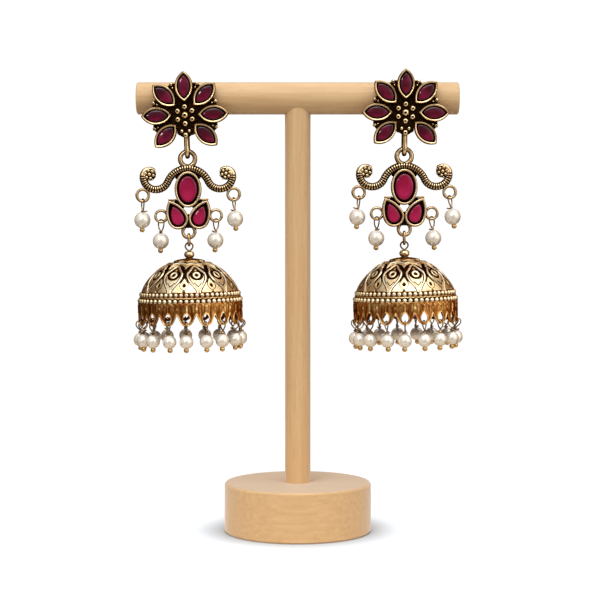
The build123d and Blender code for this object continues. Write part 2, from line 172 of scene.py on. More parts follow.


# Round wire along a path. The radius may change along it. Its value is one number, or a pair: for its edges
# and for the crests that face a direction, each one value or one for each point. rim is where the edges end
# and the crests begin. Facing the front, the bright crests are painted highlight and the dark edges painted
# shade; facing out of a surface, the crest is a raised line's buffed top.
def wire(path, radius, wear=0.8, sides=10, closed=False, facing=(0, 0, 0), rim=(-0.35, 0.75)):
    path = np.asarray(path, float)
    radius = np.broadcast_to(np.asarray(radius, float), len(path))
    pair = wear if np.ndim(wear) else (wear, wear)
    edges, crests = [np.broadcast_to(np.asarray(value, float), len(path)) for value in pair]
    facing = np.broadcast_to(np.asarray(facing, float), path.shape)
    if closed:
        tangents = np.roll(path, -1, 0) - np.roll(path, 1, 0)
    else:
        tangents = np.gradient(path, axis=0)
    tangents /= np.linalg.norm(tangents, axis=1)[:, None]
    if not closed:
        bend = np.radians((30, 60, 90))
        out, slimmer = np.sin(bend)[:, None], np.cos(bend)
        first = path[0] - out * radius[0] * tangents[0]
        last = path[-1] + out * radius[-1] * tangents[-1]
        path = np.vstack([first[::-1], path, last])
        radius = np.concatenate([radius[0] * slimmer[::-1], radius, radius[-1] * slimmer])
        tangents, edges, crests, facing = [withEnds(values) for values in (tangents, edges, crests, facing)]
    normal = np.cross(tangents[0], (0, 1, 0) if abs(tangents[0][1]) < 0.9 else (1, 0, 0))
    normals = []
    for tangent in tangents:
        normal = normal - tangent * (normal @ tangent)
        normal = normal / np.linalg.norm(normal)
        normals.append(normal)
    normals = np.array(normals)
    sideways = np.cross(tangents, normals)
    angles = fullTurn(sides)[None, :, None]
    outwards = normals[:, None] * np.cos(angles) + sideways[:, None] * np.sin(angles)
    points = path[:, None] + radius[:, None, None] * outwards
    share = eased(*rim, abs((outwards * facing[:, None]).sum(-1)))
    return skin(points, edges[:, None] + (crests - edges)[:, None] * share, looped=closed)


# crests that face the front are painted highlight and their edges painted shade
paintedLitFront = (0, -1, 0)


# A cast ring that faces the front, a little uneven as castings are. Its crest towards the front is painted
# highlight and its edges are painted shade, nearly black.
def castRing(size, x=0.0, z=0.0, cols=44, sides=12):
    angles = fullTurn(cols)
    uneven = 1 + 0.05 * np.sin(3 * angles + size["mean"] * 7 + x) + 0.03 * np.sin(5 * angles + x)
    path = np.stack([x + size["mean"] * np.cos(angles), 0 * angles, z + size["mean"] * np.sin(angles)], 1)
    return wire(path, size["wire"] * uneven, (0.02, 0.95), sides, True, paintedLitFront, (0.4, 1.0))


# Outlines of settings and stones in X and Z, each moved inwards by an inset.
def marquiseLine(length, width, inset=0.0, count=22):
    tip, waist = length / 2, width / 2
    side = (waist**2 + tip**2) / (2 * waist)
    away, radius = side - waist, side - inset
    half = atan2(sqrt(max(radius**2 - away**2, 1e-6)), away)
    angles = np.linspace(-half, half, count)
    right = np.stack([radius * np.cos(angles) - away, radius * np.sin(angles)], 1)
    return np.vstack([right, -right[1:-1]])


def pearLine(radius, tip, inset=0.0, count=22):
    side = (radius**2 + tip**2) / (2 * radius)
    away, reach = side - radius, side - inset
    half = atan2(sqrt(max(reach**2 - away**2, 1e-6)), away)
    angles = np.linspace(0, half, count)
    right = np.stack([reach * np.cos(angles) - away, reach * np.sin(angles)], 1)
    left = (right * (-1, 1))[::-1][1:]
    turn = np.radians(np.linspace(180, 360, count + 2))[1:-1]
    foot = (radius - inset) * np.stack([np.cos(turn), np.sin(turn)], 1)
    return np.vstack([right, left, foot])


def ovalLine(across, up, inset=0.0, count=56):
    angles = fullTurn(count)
    return np.stack([(across - inset) * np.cos(angles), (up - inset) * np.sin(angles)], 1)


# Layers of an outline, each moved inwards by an inset: rows are (inset, height to the front, value), the
# value being wear in a setting and painted glow in a stone.
def layers(outline, profile):
    lines = [(outline(inset), height) for inset, height, _ in profile]
    return [np.stack([line[:, 0], np.full(len(line), -height), line[:, 1]], 1) for line, height in lines]


# A collet that follows an outline.
def collet(outline, profile):
    return skin(layers(outline, profile), [row[2] for row in profile])


# The closed back of a setting.
def settingBack(outline, edge, back, wear=0.6):
    rim, line = layers(outline, ((0.0, edge, wear), (0.4, back, wear)))
    centre = line.mean(0)
    rings = [centre + (line - centre) * share for share in (1.0, 0.7, 0.4, 0.0)]
    return skin([rim] + rings, [0.3] + [wear] * 4)


# A stone: an upright girdle, a rounded crown and a slightly domed table. Its value is a painted glow,
# brightest on the table, with painted shade down the crown to nearly black at the girdle.
def stone(outline, foot, girdle, table, bevel, dome=0.12):
    crown = [(0.0, foot, 0.0), (0.0, girdle, 0.1)]
    for turn in (15, 32, 50, 68, 85):
        rise = sin(radians(turn))
        inset, height = bevel * (1 - cos(radians(turn))), girdle + (table - girdle) * rise
        crown.append((inset, height, 0.1 + 0.7 * rise**2))
    rows, wear = layers(outline, crown), [row[2] for row in crown]
    top, centre = rows[-1], rows[-1].mean(0)
    for share in (0.88, 0.72, 0.55, 0.35, 0.15, 0.0):
        rows.append(centre + (top - centre) * share - np.array([0, dome * (1 - share**2), 0]))
        wear.append(1.0 if share < 0.8 else 0.9)
    return skin(rows, wear)


# A stone cut to the size and heights that a dictionary gives it.
def cutStone(line, gem):
    return stone(lambda inset: line(*gem["size"], inset), *gem["cut"])


# Painted light in a stone: its colour is painted brighter low down and painted darker at its upper end, as
# light entering from above would make it.
def paintStoneGlow(patch, paintedUpperLight=0.62):
    height = patch[0][:, 2]
    low = (height.max() - height) / np.ptp(height)
    return patch[0], patch[1] * (paintedUpperLight + (1 - paintedUpperLight) * low**1.5), patch[2]


def linear(code):
    parts = [int(code[i : i + 2], 16) / 255 for i in (1, 3, 5)]
    return tuple(p / 12.92 if p <= 0.04045 else ((p + 0.055) / 1.055) ** 2.4 for p in parts) + (1.0,)


# Adds a node. Settings go to its own attributes or, failing that, to its inputs. The stops are a colour
# ramp's, and the range is a MapRange's limits. Links come from other nodes, from their first output unless an
# output is given. A colour Mix has its two colours at inputs 6 and 7, and its result at output 2.
def addNode(tree, kind, settings=None, links=None):
    node = tree.nodes.new("ShaderNode" + kind)
    for name, value in (settings or {}).items():
        if name == "stops":
            for spare in list(node.color_ramp.elements)[1:]:
                node.color_ramp.elements.remove(spare)
            for number, (place, colour) in enumerate(value):
                stop = node.color_ramp.elements[0] if number == 0 else node.color_ramp.elements.new(place)
                stop.position = place
                if isinstance(colour, str):
                    stop.color = linear(colour)
                else:
                    stop.color = (tuple(colour) if np.ndim(colour) else (colour,) * 3) + (1,)
        elif name == "range":
            for socket, limit in zip(("From Min", "From Max", "To Min", "To Max"), value):
                node.inputs[socket].default_value = limit
        elif isinstance(name, str) and hasattr(node, name):
            setattr(node, name, value)
        else:
            node.inputs[name].default_value = value
    for name, source in (links or {}).items():
        output = source.outputs[0] if isinstance(source, bpy.types.Node) else source
        tree.links.new(output, node.inputs[name])
    return node


def newMaterial(name):
    material = bpy.data.materials.new(name)
    material.use_nodes = True
    tree = material.node_tree
    tree.nodes.clear()
    return material, tree


# Antique gold: cast brass, gold plated, dipped in a dark oxide and buffed, so the recesses stay nearly black
# and the crests turn pale and shiny. Its colour follows each point's value, and so also shows the painted
# highlight and painted shade that it carries. The flower and its loop are buffed most. The bell is of stamped
# sheet and is coloured warmer and browner.
antiqueGoldLook = {
    "cast": {
        "stops": ((0.0, "#120A05"), (0.2, "#2C1A0E"), (0.45, "#785632"), (0.7, "#C49E66"), (1.0, "#F4DCB2")),
        "tarnish": "#B08860", "tarnishShare": 0.35, "roughness": ((0.0, 0.5), (0.4, 0.34), (1.0, 0.22)),
        "edge": "#A88C6C",  # what glancing light shows
        "unevenness": 0.12,  # how much the buffing wanders
        "streak": 1.0,  # how far the buffing is drawn out upwards
    },
    "polished": {
        "stops": ((0.0, "#0E0804"), (0.2, "#2C1A0A"), (0.45, "#7E5828"), (0.7, "#D0A65E"), (1.0, "#FCE4B4")),
        "tarnish": "#B08850", "tarnishShare": 0.3, "roughness": ((0.0, 0.5), (0.4, 0.32), (1.0, 0.2)),
        "edge": "#B0905C", "unevenness": 0.1, "streak": 1.0,
    },
    "sheet": {
        "stops": ((0.0, "#220E06"), (0.2, "#4A2610"), (0.45, "#9C6E3C"), (0.75, "#E6CC92"), (1.0, "#FFF6DC")),
        "tarnish": "#B87240", "tarnishShare": 0.42, "roughness": ((0.0, 0.5), (0.4, 0.4), (1.0, 0.36)),
        "edge": "#B08858", "unevenness": 0.16, "streak": 1.0,
    },
    # the skirt is painted darker and browner than the dome, partly as painted shade where it curves under,
    # and its far-wandering buffing is partly streaks and partly pale patches that are painted highlights
    "skirt": {
        "stops": ((0.0, "#2E1406"), (0.25, "#6A3812"), (0.5, "#A86A30"), (0.75, "#D8A860"), (1.0, "#F6E2B0")),
        "tarnish": "#B4621E", "tarnishShare": 0.8, "roughness": ((0.0, 0.5), (0.4, 0.4), (1.0, 0.3)),
        "edge": "#C0905C", "unevenness": 0.34, "streak": 5.0,
    },
}


def makeAntiqueGold(name, look):
    material, tree = newMaterial(name)
    wear = addNode(tree, "Attribute", {"attribute_name": "wear"}).outputs["Fac"]
    spot = addNode(tree, "TexCoord").outputs["Object"]
    # buffing marks 0.8 mm across, tarnish blotches of 5 mm, and a casting skin of 0.22 mm, which is drawn
    # coarser than the real one to show at all
    marks = 1000 / 0.8
    drawn = addNode(tree, "Mapping", {"Scale": (marks, marks, marks / look["streak"])}, {"Vector": spot})
    buffing = addNode(tree, "TexNoise", {"Scale": 1.0, "Detail": 4.0, "Roughness": 0.6}, {"Vector": drawn})
    blotches = addNode(tree, "TexNoise", {"Scale": 1000 / 5, "Detail": 2.0}, {"Vector": spot})
    pits = addNode(tree, "TexNoise", {"Scale": 1000 / 0.22, "Detail": 2.0}, {"Vector": spot})
    spread = look["unevenness"]
    wander = addNode(tree, "MapRange", {"range": (0.3, 0.7, -spread, spread)}, {"Value": buffing})
    level = addNode(tree, "Math", {"operation": "ADD", "use_clamp": True}, {0: wear, 1: wander})
    tone = addNode(tree, "ValToRGB", {"stops": look["stops"]}, {"Fac": level})
    share = addNode(tree, "MapRange", {"range": (0.46, 0.68, 0.0, look["tarnishShare"])}, {"Value": blotches})
    tint = addNode(tree, "Mix", {"data_type": "RGBA", "blend_type": "MULTIPLY", 7: linear(look["tarnish"])},
                   {0: share, 6: tone})
    gloss = addNode(tree, "ValToRGB", {"stops": look["roughness"]}, {"Fac": level})
    bump = addNode(tree, "Bump", {"Strength": 0.25, "Distance": 0.00006}, {"Height": pits})
    shader = addNode(tree, "BsdfPrincipled", {"Metallic": 1.0, "Specular Tint": linear(look["edge"])},
                     {"Base Color": tint.outputs[2], "Roughness": gloss, "Normal": bump})
    addNode(tree, "OutputMaterial", {}, {"Surface": shader})
    return material


# Gilt wire: drawn brass wire, gold washed, dulled where fingers and pliers have been. The ball that is melted
# on its end stays the brightest.
giltWireLook = {"bright": "#BC9C70", "dull": "#4E3A28", "ball": "#DDB878", "roughness": 0.28}


def makeGiltWire(name, look):
    material, tree = newMaterial(name)
    spot = addNode(tree, "TexCoord").outputs["Object"]
    handling = addNode(tree, "TexNoise", {"Scale": 1000 / 0.8, "Detail": 3.0}, {"Vector": spot})
    wear = addNode(tree, "Attribute", {"attribute_name": "wear"}).outputs["Fac"]
    melted = addNode(tree, "MapRange", {"range": (0.8, 0.9, 0.0, 0.35)}, {"Value": wear})
    level = addNode(tree, "Math", {"operation": "ADD"}, {0: handling, 1: melted})
    tone = addNode(tree, "ValToRGB", {"stops": ((0.36, look["dull"]), (0.62, look["bright"]),
                   (0.85, look["ball"]))}, {"Fac": level})
    shader = addNode(tree, "BsdfPrincipled", {"Metallic": 1.0, "Roughness": look["roughness"]},
                     {"Base Color": tone})
    addNode(tree, "OutputMaterial", {}, {"Surface": shader})
    return material


# Ruby glass: pressed and fire-polished, with a foil back. It shows a solid wine red, painted brightest
# through the table as a painted glow and nearly black at the girdle as painted shade. The petals' stones are
# a darker glass.
rubyLook = {
    "centre": {
        # colours from the painted shade at the girdle up to the painted glow of the table
        "stops": ((0.0, "#24030F"), (0.45, "#6E0A2E"), (0.72, "#98103F"), (1.0, "#C02A5C")),  # by depth
        "cloud": "#B42458",
    },
    "petal": {
        "stops": ((0.0, "#120206"), (0.45, "#36061A"), (0.72, "#560A26"), (1.0, "#A21A44")),
        "cloud": "#8A1844",
    },
}


def makeRuby(name, look):
    material, tree = newMaterial(name)
    depth = addNode(tree, "Attribute", {"attribute_name": "wear"}).outputs["Fac"]
    tone = addNode(tree, "ValToRGB", {"stops": look["stops"]}, {"Fac": depth})
    spot = addNode(tree, "TexCoord").outputs["Object"]
    cloud = addNode(tree, "TexNoise", {"Scale": 1000 / 3, "Detail": 1.0}, {"Vector": spot})
    share = addNode(tree, "MapRange", {"range": (0.45, 0.75, 0.0, 0.55)}, {"Value": cloud})
    mixed = addNode(tree, "Mix", {"data_type": "RGBA", 7: linear(look["cloud"])}, {0: share, 6: tone})
    shader = addNode(tree, "BsdfPrincipled", {"Roughness": 0.06, "IOR": 1.5},
                     {"Base Color": mixed.outputs[2]})
    addNode(tree, "OutputMaterial", {}, {"Surface": shader})
    return material


# Imitation pearl: a glass bead dipped in pearl lacquer, whose fish-scale flakes shine half like metal: a
# creamy body whose edge, where it turns away from view, is painted warmer and darker, partly the lacquer's
# tint at a slant and partly painted shade.
pearlLook = {"body": "#F1ECE1", "ring": "#F3EADC", "turn": "#C4AE92", "edge": "#6A543C", "roughness": 0.18}


def makePearl(name, look):
    material, tree = newMaterial(name)
    edge = addNode(tree, "LayerWeight", {"Blend": 0.3}).outputs["Facing"]
    tone = addNode(tree, "ValToRGB", {"stops": ((0.0, look["body"]), (0.5, look["ring"]),
                   (0.8, look["turn"]), (1.0, look["edge"]))}, {"Fac": edge})
    spot = addNode(tree, "TexCoord").outputs["Object"]
    swirl = addNode(tree, "TexNoise", {"Scale": 1000 / 1.6, "Detail": 2.0}, {"Vector": spot})
    bump = addNode(tree, "Bump", {"Strength": 0.02, "Distance": 0.0001}, {"Height": swirl})
    shader = addNode(tree, "BsdfPrincipled", {"Metallic": 0.3, "Roughness": look["roughness"], "IOR": 1.7,
                     "Coat Weight": 0.4, "Coat Roughness": 0.06}, {"Base Color": tone, "Normal": bump})
    addNode(tree, "OutputMaterial", {}, {"Surface": shader})
    return material


# Beech: turned, fine sanded, unvarnished. It has a pale straight grain with short darker flecks about half a
# millimetre wide, and its sanded fibres catch the light at the edges.
beechLook = {"light": "#D8B686", "dark": "#CBA272", "fleck": "#A87E54", "roughness": 0.5, "dust": 1.0}


def makeBeech(name, look, stretch):
    material, tree = newMaterial(name)
    spot = addNode(tree, "TexCoord").outputs["Object"]
    # growth rings 1.2 mm apart, drawn out along the grain
    along = addNode(tree, "Mapping", {"Scale": tuple(1000 / 1.2 / s for s in stretch)}, {"Vector": spot})
    streaks = addNode(tree, "TexNoise", {"Scale": 1.0, "Detail": 4.0, "Roughness": 0.6}, {"Vector": along})
    tone = addNode(tree, "ValToRGB", {"stops": ((0.25, look["dark"]), (0.7, look["light"]))},
                   {"Fac": streaks})
    short = addNode(tree, "Mapping", {"Scale": tuple(1000 / 0.45 / (1 + (s - 1) * 0.4) for s in stretch)},
                    {"Vector": spot})
    flecks = addNode(tree, "TexNoise", {"Scale": 1.0, "Detail": 1.0}, {"Vector": short})
    share = addNode(tree, "MapRange", {"range": (0.66, 0.76, 0.0, 0.35)}, {"Value": flecks})
    mixed = addNode(tree, "Mix", {"data_type": "RGBA", 7: linear(look["fleck"])}, {0: share, 6: tone})
    bump = addNode(tree, "Bump", {"Strength": 0.1, "Distance": 0.00008}, {"Height": streaks})
    shader = addNode(tree, "BsdfPrincipled", {"Roughness": look["roughness"],
                     "Sheen Weight": look["dust"], "Sheen Roughness": 0.4},
                     {"Base Color": mixed.outputs[2], "Normal": bump})
    addNode(tree, "OutputMaterial", {}, {"Surface": shader})
    return material


castGold = makeAntiqueGold("antiqueGoldCast", antiqueGoldLook["cast"])
polishedGold = makeAntiqueGold("antiqueGoldPolished", antiqueGoldLook["polished"])
sheetGold = makeAntiqueGold("antiqueGoldSheet", antiqueGoldLook["sheet"])
skirtGold = makeAntiqueGold("antiqueGoldSkirt", antiqueGoldLook["skirt"])
giltWire = makeGiltWire("giltWire", giltWireLook)
centreRuby = makeRuby("rubyGlassCentre", rubyLook["centre"])
petalRuby = makeRuby("rubyGlassPetal", rubyLook["petal"])
pearlLacquer = makePearl("pearlLacquer", pearlLook)
beechAcross = makeBeech("beechAcross", beechLook, (16, 1, 1))
beechUp = makeBeech("beechUp", beechLook, (1, 1, 16))
print("materials made")


def addObject(name, data):
    holder = bpy.data.objects.new(name, data)
    bpy.context.scene.collection.objects.link(holder)
    return holder


def makePiece(name, patches, place, body, slotName, material, replaced):
    points, wear, faces = joined(patches)
    points = placed((points, wear, faces), Matrix.Scale(0.001, 4) @ place)[0]
    mesh = bpy.data.meshes.new(name)
    mesh.from_pydata(points.tolist(), [], faces.tolist())
    attribute = mesh.attributes.new("wear", "FLOAT", "POINT")
    attribute.data.foreach_set("value", wear.astype(np.float32))
    shape = bmesh.new()
    shape.from_mesh(mesh)
    bmesh.ops.remove_doubles(shape, verts=shape.verts, dist=2e-7)
    bmesh.ops.dissolve_degenerate(shape, edges=shape.edges, dist=1e-7)
    bmesh.ops.recalc_face_normals(shape, faces=shape.faces)
    shape.to_mesh(mesh)
    shape.free()
    mesh.shade_smooth()
    crispFrom = 24 if slotName == "ruby_stone" else 38  # degrees between two faces
    mesh.set_sharp_from_angle(angle=radians(crispFrom))
    mesh.materials.append(material)
    piece = addObject(name, mesh)
    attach(piece, body)
    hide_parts(*replaced)


def jointAt(name):
    return Vector([j for j in frame["joints"] if j["name"] == name][0]["pos_m"]) * 1000


def numbered(stem, count):
    return [f"{stem}_{number}" for number in range(1, count + 1)]


def middle(node):
    low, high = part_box(node)
    return (low + high) * 500


# The frame of something that hangs from top with foot below it, tilted only sideways.
def hung(top, foot):
    return Matrix.Translation(top) @ Matrix.Rotation(-atan2(foot.x - top.x, top.z - foot.z), 4, "Y")


flower = {
    "petal": (9.4, 5.5),  # length and width
    # a stone's outline, then the heights of its foot, girdle and table, the width of its bevel and its doming
    "petalStone": {"size": (6.9, 3.75), "cut": (1.15, 1.8, 2.32, 0.42, 0.18)},
    # the painted light at the stones' upper ends, less than their painted glow low down
    "paintedUpperLight": 0.42,  # how brightly the stones' upper ends glow
    "petalReach": 8.77,  # from the flower's centre to each petal's
    "petalAngles": (90, 135, 180, 225, -45, 0, 45),  # none points straight down, where the bail hangs
    "gapAngles": (22.5, 67.5, 112.5, 157.5, 202.5, -22.5),
    # the plate's outline: a core, a lobe in each gap, and discs down to the bail as (z, radius)
    "coreRadius": 5.6,
    "lobes": {"reach": 7.9, "radius": 2.6},
    "tab": ((-4.4, 2.5), (-5.3, 1.5), (-6.1, 0.95)),
    "pebble": {"radius": 0.36, "pitch": 0.62, "shift": 0.12},  # the plate's granular ground
    "granules": ((0, 0, 1.12), (0, -6.15, 0.88), (-1.15, -4.85, 0.58), (1.15, -4.85, 0.58)),  # x, z, radius
    "granuleRing": {"count": 6, "radius": 2.6, "size": 0.93},
    "rim": ((10.25, 0.62), (9.1, 0.34)),  # reach and radius of the granules in each gap
    # the dark middle of their dents is a painted reflection
    "dimpledFrom": 0.6,  # larger granules have a punched dot
    "staple": {"back": 3.1, "drop": 5.2, "halfWidth": 1.95, "wire": 0.8},
}
petalProfile = (  # inset, height, wear, from the plate up the outside, over the lip and down to the floor
    (0.0, 0.15, 0.2), (-0.02, 0.9, 0.2), (0.0, 1.75, 0.3), (0.05, 2.2, 0.5), (0.14, 2.46, 0.92),
    (0.3, 2.6, 1.0), (0.48, 2.58, 1.0), (0.62, 2.46, 0.9), (0.7, 2.25, 0.45), (0.76, 1.8, 0.1),
    (0.84, 1.3, 0.0), (1.1, 1.12, 0.0),
)


# How far the plate's edge is from its centre in each direction: a core, six lobes and the tab over the bail.
def plateEdge(angles):
    discs = [(0, 0, flower["coreRadius"])] + [(0, z, radius) for z, radius in flower["tab"]]
    for gap in flower["gapAngles"]:
        discs.append((*polar(flower["lobes"]["reach"], gap), flower["lobes"]["radius"]))
    edge = np.zeros_like(angles)
    for x, z, radius in discs:
        along = x * np.cos(angles) + z * np.sin(angles)
        aside = x * np.sin(angles) - z * np.cos(angles)
        reach = along + np.sqrt(np.maximum(radius**2 - aside**2, 0))
        edge = np.maximum(edge, np.where(abs(aside) < radius, reach, 0))
    return edge


def studPlate():
    cols = 264
    angles = fullTurn(cols)
    around = np.stack([np.cos(angles), 0 * angles, np.sin(angles)], 1)
    edge = plateEdge(angles)
    pebble = flower["pebble"]
    staggered = [(x + 0.5 * (row % 2), row * 0.87) for row in range(-22, 23) for x in range(-20, 21)]
    seeds = np.array(staggered) * pebble["pitch"]
    seeds = seeds + rng.uniform(-pebble["shift"], pebble["shift"], seeds.shape)
    rows, wear = [], []
    for share in np.linspace(0.0, 0.97, 40):
        x, z = edge * share * np.cos(angles), edge * share * np.sin(angles)
        nearest = np.sqrt(((np.stack([x, z], 1)[:, None] - seeds[None]) ** 2).sum(-1)).min(1)
        bump = np.sqrt(np.clip(1 - (nearest / pebble["radius"]) ** 2, 0, 1))
        rows.append(np.stack([x, -(0.93 + 0.13 * bump), z], 1))
        wear.append(0.24 * bump**3)
    for inset, height, level in ((0.06, 0.92, 0.3), (0.0, 0.78, 0.45), (0.0, 0.2, 0.3), (0.12, 0.02, 0.25)):
        rows.append((edge - inset)[:, None] * around - (0, height, 0))
        wear.append(np.full(cols, level))
    for share in (0.75, 0.5, 0.25, 0.0):
        rows.append((edge * share)[:, None] * around)
        wear.append(np.full(cols, 0.55))
    return skin(rows, np.array(wear))


def petalPlace(angle):
    return Matrix.Rotation(-radians(angle - 90), 4, "Y") @ at(0, 0, flower["petalReach"])


def studPatches():
    patches = [studPlate()]

    def outline(inset):
        return marquiseLine(*flower["petal"], inset)

    cup, back = collet(outline, petalProfile), settingBack(outline, 0.15, 0.0)
    for angle in flower["petalAngles"]:
        patches += [placed(cup, petalPlace(angle)), placed(back, petalPlace(angle))]
    ring = flower["granuleRing"]
    spots = list(flower["granules"])
    for step in range(ring["count"]):
        spots.append((*polar(ring["radius"], 90 + 360 / ring["count"] * step), ring["size"]))
    for reach, size in flower["rim"]:
        spots += [(*polar(reach, gap), size) for gap in flower["gapAngles"]]
    for x, z, size in spots:
        grain = granule(size, 18, 9, dimpled=size > flower["dimpledFrom"])
        patches.append(placed(grain, at(x, 0.95 + 0.2 * size, z) @ frontwards))
    staple = flower["staple"]
    side, back = staple["halfWidth"], staple["back"]
    route = smoothLine([(-side, 0.4, 0), (-side, back - 0.6, 0), (-side + 0.5, back - 0.05, 0), (0, back, 0),
                        (side - 0.5, back - 0.05, 0), (side, back - 0.6, 0), (side, 0.4, 0)], 8)
    patches.append(placed(wire(route, staple["wire"], 0.5, 12), at(0, 0, -staple["drop"])))
    return patches


def petalStonePatches():
    gem = cutStone(marquiseLine, flower["petalStone"])
    return [paintStoneGlow(placed(gem, petalPlace(angle)), flower["paintedUpperLight"]) for angle in flower["petalAngles"]]


bail = {"wire": 0.82, "halfWidth": 1.75, "straight": 5.6}


def bailPatches():
    half, straight = bail["halfWidth"], bail["straight"]
    top = arc((0, 0), half, 0, 180)
    foot = arc((0, -straight), half, 180, 360)
    sides = [np.stack([np.full(12, x), np.zeros(12), np.linspace(*span, 14)[1:-1]], 1)
             for x, span in ((-half, (0, -straight)), (half, (-straight, 0)))]
    path = np.vstack([top, sides[0], foot, sides[1]])[:, [1, 0, 2]]
    slimmer = 1 - 0.12 * eased(-straight + 0.5, -straight - half, path[:, 2])
    # the loop's crest towards the front is painted highlight and its edges painted shade
    return [wire(path, bail["wire"] * slimmer, (0.15, 1.0), 18, True, paintedLitFront, (0.25, 0.95))]


connector = {
    "ringFall": 0.73,  # the bail's wire to the middle of the top ring
    "topRing": {"mean": 2.3, "wire": 0.74},
    "sideRing": {"mean": 1.85, "wire": 0.46, "x": 14.1, "z": -11.1},
    "innerRing": {"mean": 1.79, "wire": 0.42, "x": 8.5, "z": -17.65},
    "footRing": {"mean": 1.88, "wire": 0.53, "z": -22.55},
    "rope": {"top": -2.9, "low": (9.9, -9.35), "crown": 6.85, "turnsTo": 10.0, "radius": 1.2, "pitch": 0.74},
    "curl": {"radius": 2.1, "turnsTo": 122.0, "wire": 0.62},
    "knob": {
        "centre": (11.85, -4.6), "radius": 2.08, "depth": 1.1,
        # rings of granules: distance from the middle, count, angle of the first, and radius
        "rings": ((0.0, 1, 0, 0.6), (1.22, 6, 15, 0.54), (1.88, 9, 0, 0.32)),
    },
    "oval": {"z": -9.42, "size": (4.15, 5.62)},
    "ovalStone": {"size": (2.91, 4.16), "cut": (0.25, 0.75, 1.36, 0.6, 0.16)},
    # (x, z) route, thickness at its start and end, and how bright its crest towards the front is painted
    "fills": (
        (((1.5, -14.95), (2.3, -14.1), (4.0, -12.9)), 0.3, 0.5, 0.1),
        (((3.9, -12.75), (5.0, -12.72), (6.05, -12.6)), 0.4, 0.26, 0.7),
        (((1.6, -4.35), (2.6, -4.9), (3.55, -5.8)), 0.35, 0.4, 0.05),
    ),
    "web": {  # between the two pears
        "span": (-17.0, -21.4),
        "halfWidths": (0.1, 0.8, 1.6, 1.9),
        # across it: shares of its half width, and heights
        "section": ((-1, -0.5), (-1, 0.35), (-0.6, 0.6), (0, 0.68), (0.6, 0.6), (1, 0.35), (1, -0.5)),
    },
    # a pear's size is the radius of its round end and how far its tip is
    "pear": {"centre": (3.24, -18.6), "tilt": 25.3, "stoneTilt": 20.5, "size": (3.22, 6.4)},
    "pearStone": {"size": (2.0, 4.3), "cut": (0.25, 0.75, 1.36, 0.55, 0.14)},
}
settingProfile = (  # inset, height, wear
    (0.0, -0.7, 0.3), (0.0, 0.2, 0.3), (0.0, 0.95, 0.2), (0.03, 1.25, 0.4), (0.12, 1.46, 0.85),
    (0.28, 1.58, 1.0), (0.46, 1.6, 1.0), (0.62, 1.53, 0.95), (0.76, 1.36, 0.5), (0.84, 1.1, 0.1),
    (0.9, 0.4, 0.0), (1.5, 0.25, 0.0),
)


def ropeLine():
    rope, curl = connector["rope"], connector["curl"]
    x, z = rope["low"]
    fall = rope["top"] - z
    hollow = (x**2 + fall**2) / (2 * fall) - rope["crown"]
    crownCentre, dipCentre = (0, rope["top"] - rope["crown"]), (x, z + hollow)
    bend = degrees(atan2(dipCentre[1] - crownCentre[1], x))
    across, up = polar(hollow - curl["radius"], rope["turnsTo"])
    curlCentre = (dipCentre[0] + across, dipCentre[1] + up)
    crownPart = arc(crownCentre, rope["crown"], 90, bend)
    dipPart = arc(dipCentre, hollow, 180 + bend, 360 + rope["turnsTo"])
    curlPart = arc(curlCentre, curl["radius"], rope["turnsTo"], curl["turnsTo"])
    return np.vstack([crownPart, dipPart[1:]]), curlPart


# The rope is a rod cast with rings round it. They fade out where the plain, tapering curls begin. The dark
# gaps between the rings are oxide; the crests towards the front are painted highlight and the edges painted
# shade.
def ropePatch():
    rope, curl = connector["rope"], connector["curl"]
    ropeHalf, curlHalf = ropeLine()
    half, along = evenly(np.vstack([ropeHalf, curlHalf[1:]]), 0.07)
    ropeLength = np.linalg.norm(np.diff(ropeHalf, axis=0), axis=1).sum()
    path = np.vstack([half[::-1] * (-1, 1, 1), half[1:]])
    along = np.concatenate([along[::-1], along[1:]])
    phase = (along / rope["pitch"] + 0.5) % 1
    crest = np.sqrt(np.clip(1 - (2 * phase - 1) ** 2, 0, 1))
    ribbed = 1 - eased(ropeLength - 0.7, ropeLength + 0.2, along)
    taper = 1 - (1 - curl["wire"] / rope["radius"]) * eased(ropeLength - 1.5, along.max(), along)
    radius = rope["radius"] * taper * (1 - 0.13 * (1 - crest) * ribbed)
    bright = 1 - (1 - eased(0.48, 0.7, 1 - abs(2 * phase - 1))) * ribbed
    return wire(path, radius, (0.06 + 0.12 * bright, 0.02 + 0.98 * bright), 18, False, paintedLitFront, (0.15, 0.75))


def knobPatches(side):
    knob = connector["knob"]
    x, z = knob["centre"]
    radius, depth = knob["radius"], knob["depth"]
    angles = np.linspace(pi / 2, -pi / 2, 14)
    # dark between the granules, and plain behind
    profile = [(radius * 0.96 * cos(a), depth * sin(a), 0.55 * eased(0.1, -0.4, sin(a))) for a in angles]
    patches = [placed(turned(profile, 36), at(side * x, 0, z) @ frontwards)]
    for reach, count, first, size in knob["rings"]:
        height = depth * sqrt(1 - (reach / (radius * 1.02)) ** 2) - 0.1
        for step in range(count):
            across, up = polar(reach, first + 360 / count * step)
            spot = at(side * (x + across), height, z + up)
            patches.append(placed(granule(size, 12, 7, 0.7), spot @ frontwards))
    return patches


def pearPlace(side, tilt):
    x, z = connector["pear"]["centre"]
    return at(side * x, 0, z) @ Matrix.Rotation(side * radians(connector["pear"][tilt]), 4, "Y")


def setting(outline, place):
    foot = settingProfile[0][1]
    cup, back = collet(outline, settingProfile), settingBack(outline, foot, foot - 0.14)
    return [placed(cup, place), placed(back, place)]


